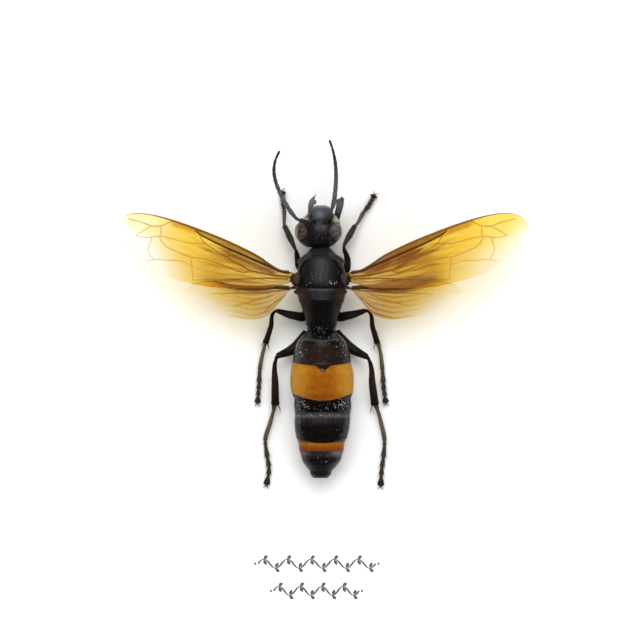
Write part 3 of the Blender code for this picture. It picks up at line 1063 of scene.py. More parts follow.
@dataclass
class Head:
    """The head seen from its crown: capsule, shield over the mouth, eyes, jaws and feelers."""

    grids: list[Array] = field(default_factory=list)

    @staticmethod
    def skull() -> Envelope:
        """The capsule's sections, widened at the cheeks so that both eyes are set in one round head."""
        packed = Envelope.of_node("head_capsule")
        (left, _), (_, right) = box_mm("eye_left"), box_mm("eye_right")
        middle, reach = (left[0] + right[0]) / 2, (right[0] - left[0]) / 2 - 0.10
        y = np.array((8.08, 8.35, 8.70, 9.20, 9.80, 10.40, 10.90, 11.30, 11.60, 11.85, 12.10, 12.40, 12.62))
        share = np.array((0.48, 0.68, 0.85, 0.965, 1.0, 0.985, 0.92, 0.80, 0.67, 0.555, 0.50, 0.43, 0.34))
        form = smooth_through(packed.back, packed.form, -y)
        form[:, 0] = middle + (0.10 - middle) * rise(10.2, 11.9, y)
        form[:, 2] = share * reach
        return Envelope(-y[::-1], form[::-1])

    def build(self) -> None:
        """Builds every piece of the head."""
        self.envelope = self.skull()
        self.capsule()
        self.ocelli()
        self.eye("left", -1.0, EYE_BROWN)
        # The right eye's bluish grey is a painted reflection.
        self.eye("right", 1.0, EYE_REFLECTION_GREY)
        self.jaw("left")
        self.jaw("right")
        for side in ("left", "right"):
            Feeler(side).build()

    @staticmethod
    def relief(x: Array, y: Array, upper: Array) -> Array:
        """The shield's dome, the feelers' pits, the middle line, and the orbits sunk to hold the eyes."""
        above = rise(0.2, 0.7, upper)
        middle = x - MIDDLE
        dome = 0.22 * hill(y, 11.75, 0.62) * hill(middle, 0.0, 0.75)
        line = -0.05 * hill(middle, 0.0, 0.07) * rise(10.9, 10.6, y) * rise(8.6, 9.2, y)
        rim = np.zeros_like(x)
        for place in (-0.83, 0.83):
            far = np.hypot(middle - place, y - 10.82)
            rim += 0.10 * hill(far, 0.36, 0.11) - 0.16 * hill(far, 0.0, 0.25)
        border = line_distance(x, y, [(-1.05, 12.1), (-0.55, 11.1), (0.80, 11.1), (1.28, 12.1)])
        suture = -0.05 * hill(border, 0, 0.06)
        brow = 0.07 * hill(np.abs(middle), 0.62, 0.25) * hill(y, 10.05, 0.5)
        orbit = -0.42 * hill(y, 9.85, 0.95) * rise(1.05, 1.55, np.abs(x + 0.19))
        return above * (dome + line + rim + suture + brow + orbit)

    @staticmethod
    def marks(x: Array, y: Array, upper: Array) -> Marks:
        """Painted blue-grey reflection on the shield, brightest on its middle, and a fainter painted sheen on
        the brow; cream cheeks before the eyes; a darker crown, dark lines beside the shield, and painted
        shade in the feeler sockets.
        """
        middle = np.abs(x - MIDDLE)
        above = rise(-0.1, 0.5, upper)
        # Painted reflection: a blue-grey wash on the shield with a brighter spot on its middle, and painted
        # sheen on the brow.
        spot = hill(np.hypot(x - 0.02, (y - 11.75) * 0.9), 0.0, 0.42)
        painted_sheen = rise(10.9, 11.5, y) * rise(1.12, 0.80, middle) * (0.38 + 0.55 * spot)
        painted_sheen = painted_sheen + 0.32 * hill(y, 10.35, 0.55) * hill(middle, 0.25, 0.40)
        cream = hill(middle, 1.80, 0.38) * hill(y, 11.15, 0.34)
        cream = cream + 0.30 * rise(12.35, 12.55, y) * rise(0.9, 0.7, middle)
        # Dark: the crown, painted shade in the feeler sockets, and lines beside the shield.
        dark = hill(y, 8.5, 0.6) * 0.6 + 0.8 * hill(np.hypot(middle - 0.83, y - 10.82), 0.0, 0.22)
        dark = dark + 0.9 * hill(middle, 1.10, 0.16) * rise(10.9, 11.3, y)
        cheek = rise(1.35, 1.75, np.abs(x + 0.02)) * rise(10.75, 11.0, y)
        cream = np.maximum(cream, 0.95 * cheek)
        painted_sheen = painted_sheen * (1 - cheek)
        cream = np.clip(cream, 0, 1) * rise(-0.5, 0.1, upper)
        return {"pale": np.clip(painted_sheen, 0, 1) * above, "rust": cream, "dark": np.clip(dark, 0, 1)}

    def capsule(self) -> None:
        """The capsule itself, closed in front by the shield's rolled edge."""
        plate = Sclerite("head_capsule_detail", self.envelope, self.envelope.rear, self.envelope.front,
                         HEAD_BLACK, Slot.BLACK, ("head_capsule",), tuck=0.0, lip=0.05,
                         fullness=HEAD_FULLNESS, shaping=self.relief, painting=self.marks,
                         rows=96, columns=120)
        plate.build()
        self.grids.append(plate.rings)

    def ocelli(self) -> None:
        """Three bead eyes on the crown."""
        envelope = self.envelope
        beads = []
        for x, y, radius in ((-0.40, 9.10, 0.15), (-0.06, 9.42, 0.14), (0.26, 9.08, 0.15)):
            top = envelope.surface(np.array([y]), np.array([math.pi / 2]), np.zeros(1), HEAD_FULLNESS)[0, 2]
            beads.append(bead(np.array((x, y, top - 0.03)), np.array((radius, radius, radius * 0.8))))
        add_piece("ocelli", Skin.joined(beads), OCELLUS)

    @staticmethod
    def eye(side: str, sign: float, finish: Facets) -> None:
        """A bean-shaped compound eye, notched towards the middle, sunk a little into the capsule."""
        low, high = box_mm(f"eye_{side}")
        inner, outer = (low[0], high[0]) if sign > 0 else (high[0], low[0])
        inner -= sign * 0.50
        middle, half = (low + high) / 2, (high - low) / 2
        climb = np.linspace(0.03, math.pi - 0.03, 48)[:, None]
        angle = turns(64)[None]
        across = np.cos(climb)
        belly = np.sin(climb) ** 0.80
        notch = 1 - 0.14 * hill(angle, 0.5 * math.pi, 0.5) * hill(across, -0.3, 0.5)
        reach = abs(outer - inner) + 0.12
        x = inner + sign * reach * 0.5 * (1 + across)
        y = middle[1] + half[1] * 1.02 * belly * np.cos(angle) * notch
        z = middle[2] + half[2] * 1.06 * belly * np.sin(angle)
        rim = np.maximum(rise(0.50, 0.90, across), 0.6 * rise(0.60, 0.95, -across))
        rings = np.stack(np.broadcast_arrays(x, y, z), -1)
        skin = closed(rings, {"rim": np.broadcast_to(rim, rings.shape[:2])})
        dress(f"eye_{side}", skin, finish)

    @staticmethod
    def jaw(side: str) -> None:
        """A jaw blade: a flat sweep whose inner edge carries blunt teeth and whose tip is hooked."""
        node = f"mandible_{side}"
        route = Route.of_node(node, JAW_ROOT)
        t = np.linspace(-0.22, 1.0, 52)
        path, radius = route.read(np.clip(t, 0.0, 1.0))
        path = path + np.minimum(t, 0.0)[:, None] * (path[-1] - path[0])
        if side == "left":
            path[:, 0] += 0.16 * rise(0.55, 1.0, t) - 0.05 * hill(t, 0.5, 0.3)
            teeth = 0.15 * hill(t, 0.62, 0.06) + 0.04 * hill(t, 0.40, 0.09)
            breadth = radius * (0.92 + 0.10 * hill(t, 0.5, 0.2) - 0.66 * rise(0.64, 0.98, t)) + teeth
            path[:, 0] += teeth * 0.9 - 0.12 * rise(0.35, 0.0, t)
        else:
            teeth = 0.10 * hill(t, 0.76, 0.05) + 0.05 * hill(t, 0.96, 0.05)
            breadth = radius * (1.14 - 0.20 * rise(0.9, 1.0, t)) + teeth
            path[:, 0] += 0.12 * rise(0.75, 1.0, t) - teeth * 0.8
        height = radius * (0.62 - 0.22 * t)
        rings = sweep(path, breadth, height, 28)
        # The pale mark is a painted bluish sheen, stronger on the left jaw and on the middle of the blade.
        light = 0.95 if side == "left" else 0.50
        pale = light * (0.30 + 0.70 * hill(t, 0.58, 0.3))
        dark = rise(0.86, 1.0, t) * 0.7 + 0.7 * rise(0.25, 0.0, t)
        dress(node, striped(rings, {"pale": pale, "dark": dark}), JAW_GREY)


def bead(centre: Array, half: Array, rows: int = 14, columns: int = 20) -> Skin:
    """A closed ellipsoid: its poles lie above and below."""
    climb = np.linspace(0.12, math.pi - 0.12, rows)[:, None]
    angle = turns(columns)[None]
    parts = (np.sin(climb) * np.cos(angle), np.sin(climb) * np.sin(angle), np.cos(climb) + 0 * angle)
    return closed(centre + half * np.stack(parts, -1))


@dataclass
class Feeler:
    """A feeler: a long first joint, a short second one and ten more in a tapering whip."""

    side: str

    def build(self) -> None:
        """Builds the scape and the flagellum."""
        self.scape()
        self.whip()

    def scape(self) -> None:
        """The first joint: a bulb in its pit, a neck, and a club that widens to the elbow."""
        node = f"antenna_scape_{self.side}"
        route = Route.of_node(node, FEELER_ROOT)
        t = np.linspace(0.0, 1.0, 42)
        path, radius = route.read(t)
        club = 0.12 * hill(t, 0.86, 0.16)
        width = radius * (1.0 - 0.28 * hill(t, 0.14, 0.08) + club - 0.45 * rise(0.95, 1.0, t))
        rings = sweep(path, width * 0.84, width * 0.84, 24)
        rows = {"rust": 0.95 - 0.4 * t, "dark": rise(0.35, 0.0, t)}
        dress(node, striped(rings, rows), FEELER_GREY)

    def whip(self) -> None:
        """The other joints: the radius swells within each and pinches at its ends, c = |2s - 1|^6."""
        node = f"antenna_flagellum_{self.side}"
        elbow = Route.of_node(f"antenna_scape_{self.side}", FEELER_ROOT).centres[-1]
        route = Route.of_node(node, elbow)
        t = np.linspace(0.0, 1.0, 176)
        path, radius = route.read(t)
        borders = np.array((0.0, 0.055, 0.205, 0.30, 0.39, 0.475, 0.56, 0.64, 0.72, 0.80, 0.885, 1.0))
        joint = np.clip(np.searchsorted(borders, t, side="right") - 1, 0, len(borders) - 2)
        within = (t - borders[joint]) / (borders[joint + 1] - borders[joint])
        pinch = np.abs(2 * within - 1) ** 6
        blunt = np.maximum(radius * (0.97 + 0.06 * rise(0.5, 0.8, t)), 0.145)
        width = 0.93 * blunt * (1.0 - 0.26 * pinch + 0.08 * within) * rounded(t, 0.02, 0.02)
        rings = sweep(path, width, width, 20)
        dark = np.clip(0.80 * pinch + 0.35 * rise(0.45, 0.75, t), 0, 1)
        # Pale: painted sheen on the whip's first third.
        rows = {"pale": 0.50 * hill(t, 0.30, 0.26), "dark": dark}
        dress(node, striped(rings, rows), FEELER_GREY)


# ---- Thorax and gaster ----


# Lines on the thorax seen from above, left then right: (x, y).
COLLAR_RIDGES = (
    ((-1.10, 7.3), (-1.70, 6.75), (-2.20, 6.1)),
    ((1.05, 7.35), (1.75, 6.75), (2.35, 5.95)),
)
SHIELD_GROOVES = (
    ((-0.90, 7.6), (-1.35, 6.7), (-1.90, 5.8), (-2.10, 4.9)),
    ((1.20, 7.4), (1.70, 6.4), (2.20, 5.3), (2.35, 4.6)),
)


@dataclass
class Thorax:
    """The three parts of the middle body, with the shields, grooves and lobes seen on its back."""

    grids: list[Array] = field(default_factory=list)

    def build(self) -> None:
        """Builds the plates from front to back."""
        middle = Envelope.of_node("mesothorax")
        collar = Envelope.of_node("pronotum")
        hind = Envelope.of_node("propodeum")
        plates = [
            Sclerite("pronotum_detail", collar, collar.front, 6.35, THORAX_BLACK, Slot.BLACK, ("pronotum",),
                     tuck=0.0, rear_bow=0.55, fullness=2.1, shaping=self.shoulders,
                     painting=self.collar_marks),
            Sclerite("scutum", middle, 6.40, 3.62, THORAX_BLACK, Slot.BLACK, ("mesothorax",), front_bow=0.50,
                     rear_bow=-0.10, tuck=0.35, fullness=2.2, shaping=self.shield_relief,
                     painting=self.shield_marks, rows=90, columns=120),
            Sclerite("scutellum", middle, 3.58, 2.45, THORAX_BLACK, Slot.BLACK, (), front_bow=-0.06,
                     rear_bow=-0.25, fullness=2.2, shaping=self.cushion_relief, painting=self.cushion_marks),
            Sclerite("metanotum", middle, 2.42, 1.95, THORAX_BLACK, Slot.BLACK, (), front_bow=-0.25,
                     rear_bow=-0.25, fullness=2.2, shaping=self.cushion_relief, painting=self.waist_marks),
            Sclerite("propodeum_detail", hind, 1.95, hind.rear, THORAX_BLACK, Slot.BLACK, ("propodeum",),
                     front_bow=-0.2, fullness=2.1, shaping=self.waist_relief, painting=self.waist_marks),
        ]
        for plate in plates:
            plate.build()
            self.grids.append(plate.rings)
        self.neck(collar)
        self.hinges()

    @staticmethod
    def neck(collar: Envelope) -> None:
        """The short neck from the collar into the head: a waisted tube."""
        t = np.linspace(0.0, 1.0, 24)
        middle, height = collar.form[0, 0], collar.form[0, 1]
        path = np.column_stack([middle + 0 * t, collar.front - 0.5 + 1.2 * t, height + 0.1 + 0 * t])
        width = 1.22 - 0.20 * hill(t, 0.5, 0.3)
        add_piece("neck", closed(sweep(path, width, width * 0.72, 40)), THORAX_BLACK)

    @staticmethod
    def hinges() -> None:
        """Small hard plates where each wing joins the body: flattened knobs in pairs."""
        knobs = []
        for side in ("left", "right"):
            low, high = box_mm(f"tegula_{side}")
            middle = (low + high) / 2
            sign = math.copysign(1.0, middle[0])
            for across, ahead, lift, wide, long in (
                (0.00, 0.30, -0.30, 0.40, 0.26), (0.32, 0.02, -0.34, 0.26, 0.22),
                (-0.05, -0.55, -0.40, 0.42, 0.24), (0.28, -0.30, -0.38, 0.30, 0.16),
                (-0.10, -0.98, -0.62, 0.46, 0.22), (0.26, -1.06, -0.60, 0.22, 0.15),
                (-0.30, -1.50, -0.90, 0.42, 0.30),
            ):
                centre = middle + np.array((sign * across, ahead, lift))
                knobs.append(bead(centre, np.array((wide, long, 0.24)), 12, 18))
        add_piece("wing_hinges", Skin.joined(knobs), HINGE_BROWN)

    @staticmethod
    def shoulders(x: Array, y: Array, upper: Array) -> Array:
        """Squared shoulders: proud of the side at y = 6.72 and drawn in before it."""
        side = rise(0.85, 0.30, np.abs(upper))
        return side * (0.20 * hill(y, 6.72, 0.30) - 0.22 * hill(y, 7.50, 0.30))

    @staticmethod
    def collar_marks(x: Array, y: Array, upper: Array) -> Marks:
        """A dull collar with a browner rear rim, and painted sheen on its top and along its ridges."""
        ridge = np.minimum(*(line_distance(x, y, line) for line in COLLAR_RIDGES))
        # Pale: painted sheen on the top and along the ridges.
        pale = 0.20 * rise(0.2, 0.9, upper) + 0.45 * hill(ridge, 0.0, 0.12)
        return {"rust": hill(y, 6.5, 0.3) * 0.4, "pale": pale}

    @staticmethod
    def shield_relief(x: Array, y: Array, upper: Array) -> Array:
        """The slanting grooves that part the collar's lobes, a middle line, and two side furrows."""
        above = rise(0.05, 0.45, upper)
        left, right = (line_distance(x, y, line) for line in SHIELD_GROOVES)
        grooves = -0.17 * hill(left, 0.0, 0.13) - 0.17 * hill(right, 0.0, 0.13)
        lobes = 0.20 * rise(0.0, 0.5, np.abs(x - MIDDLE) - (2.9 - 0.26 * y))
        line = -0.05 * hill(x, 0.14, 0.06) * rise(3.8, 4.4, y)
        furrows = -0.05 * (hill(x, -0.72, 0.07) + hill(x, 0.98, 0.07)) * hill(y, 4.5, 0.8)
        swell = 0.06 * hill(np.abs(x - MIDDLE), 0.0, 1.2)
        middle = above * (grooves + line + furrows + swell)
        return middle + lobes * 0.5 * above + Thorax.shoulders(x, y, upper)

    @staticmethod
    def shield_marks(x: Array, y: Array, upper: Array) -> Marks:
        """Painted grey sheen of the fine down on the middle of the shield, streaked lengthwise and brighter
        along the ridges, with painted shade in the grooves and along the rear seam.
        """
        above = rise(0.0, 0.6, upper)
        middle = x - MIDDLE
        lines = 0.72 + 0.28 * np.sin(17.0 * middle + 0.6 * np.sin(1.7 * y)) * np.sin(6.3 * middle + 0.8)
        # Painted sheen of the fine down, streaked lengthwise, with more along the ridges and the front.
        painted_sheen = 0.80 * hill(middle, 0.0, 1.0) * rise(3.5, 4.6, y) * rise(7.0, 6.0, y) * lines
        ridge = np.minimum(*(line_distance(x, y, line) for line in COLLAR_RIDGES))
        painted_sheen = painted_sheen + 0.55 * hill(ridge, 0.0, 0.12) + 0.30 * hill(y, 6.7, 0.4) * hill(middle, 0.0, 1.0)
        left, right = (line_distance(x, y, line) for line in SHIELD_GROOVES)
        # Painted shade in the grooves and along the seam before the scutellum.
        dark = hill(np.minimum(left, right), 0.0, 0.16) + 0.8 * hill(y, 3.62, 0.13)
        return {"pale": np.clip(painted_sheen, 0, 1) * above, "dark": np.clip(dark, 0, 1) * above}

    @staticmethod
    def cushion_relief(x: Array, y: Array, upper: Array) -> Array:
        """A low cushion parted by a shallow middle line."""
        above = rise(0.3, 0.8, upper)
        return above * (0.10 * hill(y, 3.05, 0.5) - 0.04 * hill(x, 0.12, 0.08))

    @staticmethod
    def cushion_marks(x: Array, y: Array, upper: Array) -> Marks:
        """A light front edge and a painted grey sheen streaked down the middle, brown towards the sides."""
        above = rise(0.2, 0.7, upper)
        lines = 0.75 + 0.25 * np.sin(15.0 * x + 0.7) * np.sin(5.1 * x)
        pale = 0.55 * hill(y, 3.36, 0.12) * rise(1.65, 1.25, np.abs(x - MIDDLE))
        # Painted sheen down the middle.
        pale = pale + 0.52 * hill(x, MIDDLE, 1.1) * lines
        return {"pale": np.clip(pale, 0, 1) * above, "rust": rise(1.0, 2.0, np.abs(x - MIDDLE)) * above}

    @staticmethod
    def waist_relief(x: Array, y: Array, upper: Array) -> Array:
        """A hollow down the middle of the rear slope, edged by two faint ridges."""
        above = rise(0.1, 0.6, upper)
        ridges = above * (0.05 * hill(np.abs(x - 0.1), 0.75, 0.2) - 0.10 * hill(x, 0.1, 0.30))
        return ridges + 0.20 * rise(0.4, -0.7, y) * rise(0.9, 0.5, np.abs(upper))

    @staticmethod
    def waist_marks(x: Array, y: Array, upper: Array) -> Marks:
        """Dark on the middle, brown at the sides."""
        side = rise(0.7, 1.6, np.abs(x - MIDDLE))
        return {"dark": 0.95 * (1 - side), "rust": side * 0.6}


@dataclass
class Gaster:
    """The hind body's seven rings, telescoped from front to back."""

    grids: list[Array] = field(default_factory=list)

    def build(self) -> None:
        """Builds the rings. Each tucks its front under the one before."""
        plates = [
            # number, front, rear, front bow, rear bow, finish, slot, marks, relief
            (1, -1.22, -4.66, 0.0, -0.34, GASTER_BLACK, Slot.BLACK, self.first_marks, self.first_relief),
            (2, -4.66, -8.10, -0.34, -0.80, GASTER_ORANGE, Slot.ORANGE, self.second_marks, flat_shape),
            (3, -8.10, -10.30, -0.80, -0.10, GASTER_BLACK, Slot.BLACK, self.third_marks, self.third_relief),
            (4, -10.30, -13.18, -0.10, -0.44, GASTER_BLACK, Slot.BLACK, self.fourth_marks, self.third_relief),
            (5, -13.18, -14.50, -0.44, -0.05, GASTER_ORANGE, Slot.ORANGE, self.fifth_marks, flat_shape),
            (6, -14.50, -16.60, -0.05, -0.10, GASTER_BLACK, Slot.BLACK, self.sixth_marks, self.sixth_relief),
            (7, -16.60, -17.58, -0.10, 0.0, GASTER_BLACK, Slot.BLACK, self.last_marks, self.last_relief),
        ]
        for number, front, rear, front_bow, rear_bow, finish, slot, marks, relief in plates:
            node = f"gaster_segment_{number}"
            plate = Sclerite(f"tergite_{number}", self.envelope(), front, rear, finish, slot, (node,),
                             front_bow, rear_bow, 0.0 if number == 1 else 0.45, 0.035, 2.1, relief, marks,
                             rows=72, columns=112)
            plate.build()
            self.grids.append(plate.rings)

    @staticmethod
    def envelope() -> Envelope:
        """All seven nodes' sections as one run; the rear one of each pair at a seam is left out."""
        parts = [Envelope.of_node(f"gaster_segment_{number}") for number in range(1, 8)]
        back = np.concatenate([part.back[1:] if k else part.back for k, part in enumerate(parts)])
        form = np.concatenate([part.form[1:] if k else part.form for k, part in enumerate(parts)])
        return Envelope(back, form)

    @staticmethod
    def first_relief(x: Array, y: Array, upper: Array) -> Array:
        """The shoulder where the steep front turns into the back, and a small pit on it."""
        shoulder = 0.05 * hill(y, -2.30, 0.22) + 0.13 * hill(y, -2.75, 0.8)
        return shoulder * rise(0.1, 0.7, upper) - 0.08 * hill(np.hypot(x - 0.4, y + 2.0), 0, 0.2)

    @staticmethod
    def first_marks(x: Array, y: Array, upper: Array) -> Marks:
        """A painted highlight along the shoulder, painted reflections greying the sides, stronger on the
        left, a brown-tinged back, and a darker steep front.
        """
        above = rise(0.0, 0.6, upper)
        side = rise(1.2, 2.9, np.abs(x - 0.2))
        # Painted highlight along the shoulder where the steep front turns into the back.
        painted_shoulder_highlight = hill(y + 0.10 * np.cos(1.5 * (x - 0.2)), -2.20, 0.13)
        pale = 0.30 * painted_shoulder_highlight * rise(2.2, 1.6, np.abs(x - 0.2))
        # Painted reflection greying the sides, stronger on the left.
        pale = pale + np.where(x < 0, 0.28, 0.06) * side * rise(-1.6, -2.6, y)
        rust = 0.32 * rise(-2.4, -3.0, y) * (1 - side)
        return {"pale": np.clip(pale, 0, 1) * above, "rust": rust * above, "dark": rise(-2.2, -1.6, y) * 0.7}

    @staticmethod
    def second_marks(x: Array, y: Array, upper: Array) -> Marks:
        """Orange, paler at the sides, partly its own yellower colour and partly painted highlight, redder at
        the rear, with a dark wedge on the front middle.
        """
        middle = np.abs(x - 0.35)
        wedge = rise(0.10, -0.12, middle - 1.15 * (y + 5.80)) * rise(-5.85, -5.6, y)
        # Pale: the sides' own yellower colour with a painted highlight on them.
        pale = rise(1.0, 3.0, np.abs(x - 0.2)) * 0.95 + 0.35 * hill(y, -5.4, 0.45) * rise(0.8, 1.6, middle)
        rust = 0.45 * hill(y, -8.6, 0.45) + 0.40 * hill(x, 0.2, 1.0) * rise(-5.6, -6.6, y)
        shade = 0.14 * hill(y, -5.0, 0.35)
        dark = wedge + shade
        return {"pale": np.clip(pale, 0, 1), "rust": np.clip(rust, 0, 1), "dark": np.clip(dark, 0, 1)}

    @staticmethod
    def third_relief(x: Array, y: Array, upper: Array) -> Array:
        """Shallow lengthwise dents across the black ring."""
        wave = np.sin(7.3 * x + 1.3 * np.sin(2.1 * x)) * np.sin(4.1 * x + 0.7)
        dents = 0.016 * wave * (hill(y, -9.6, 0.6) + hill(y, -11.6, 0.9)) * rise(0.1, 0.5, upper)
        return dents + 0.05 * hill(y, -9.9, 0.45) * rise(0.8, 0.4, np.abs(upper))

    @staticmethod
    def sixth_relief(x: Array, y: Array, upper: Array) -> Array:
        """A fuller barrel before the tip."""
        return 0.23 * hill(y, -15.90, 0.62) + 0.12 * rise(-15.9, -16.6, y)

    @staticmethod
    def last_relief(x: Array, y: Array, upper: Array) -> Array:
        """The tip goes on from the barrel, a little fuller than its section."""
        return 0.23 * hill(y, -15.90, 0.62) + 0.12 + 0.10 * rise(-16.9, -17.3, y)

    @staticmethod
    def third_marks(x: Array, y: Array, upper: Array) -> Marks:
        """Black, with a thin dull rear margin and a faint painted sheen on both sides."""
        sheen = 0.10 * hill(np.abs(x - 0.25), 2.35, 0.45) * rise(0.0, 0.4, upper)
        pale = 0.35 * hill(y, -10.35, 0.10) * rise(0.0, 0.5, upper) + sheen
        return {"pale": pale, "dark": rise(-10.2, -9.9, y) * 0.5}

    @staticmethod
    def fourth_marks(x: Array, y: Array, upper: Array) -> Marks:
        """A grey-pink front margin broken up by painted sheen, painted sheen in fine lengthwise streaks over
        the front part, and a brown spot on the middle.
        """
        above = rise(0.0, 0.5, upper)
        spot = hill(np.hypot((x + 0.05) * 0.7, y + 11.0), 0.0, 0.38)
        # Painted sheen in fine lengthwise streaks.
        painted_sheen_streaks = 0.5 + 0.5 * np.sin(13.0 * x + 2.0 * np.sin(3.1 * x)) * np.sin(5.3 * x)
        pale = 0.52 * hill(y, -10.66, 0.17) * (0.7 + 0.5 * painted_sheen_streaks) + 0.22 * painted_sheen_streaks * rise(-11.9, -10.9, y)
        return {"pale": np.clip(pale, 0, 1) * above, "rust": spot * above}

    @staticmethod
    def fifth_marks(x: Array, y: Array, upper: Array) -> Marks:
        """A dull yellow front rim, an orange middle and a reddish rear."""
        rust = rise(-13.85, -14.40, y) * 0.80 + 0.20 + 0.15 * np.sin(4.0 * x) * np.sin(1.7 * x + 1)
        olive = hill(y, -13.42, 0.18)
        rust = np.clip(rust * (1 - olive), 0, 1)
        return {"pale": 0.30 * hill(y, -13.75, 0.15), "rust": rust, "dark": 0.08 + 0.66 * olive}

    @staticmethod
    def sixth_marks(x: Array, y: Array, upper: Array) -> Marks:
        """Painted bluish-grey sheen at both front sides, stronger on the right, and a faint band of it across
        the front.
        """
        # Painted sheen at the front sides, stronger on the right.
        left = 0.50 * hill(np.hypot((x + 1.75) * 0.8, y + 14.75), 0.0, 0.42)
        right = 1.0 * hill(np.hypot((x - 1.85) * 0.75, y + 14.72), 0.0, 0.46)
        return {"pale": np.clip(left + right + 0.12 * hill(y, -14.9, 0.3), 0, 1) * rise(-0.2, 0.3, upper)}

    @staticmethod
    def last_marks(x: Array, y: Array, upper: Array) -> Marks:
        """An olive-brown rim round the tip."""
        return {"rust": rise(-17.3, -16.9, y) * 0.3, "pale": 0.16 * rise(-17.15, -17.45, y)}


# ---- Legs ----

FOOT_JOINTS = np.array((0.0, 0.48, 0.65, 0.765, 0.86, 1.0))


def rounded(t: Array, start: float, end: float) -> Array:
    """1 along a limb, falling to about a third in a quarter circle over start and end shares of it."""
    ends = np.clip(np.minimum((t + 0.004) / start, (1.004 - t) / end), 0.0, 1.0)
    return 0.30 + 0.70 * np.sqrt(1 - (1 - ends) ** 2)


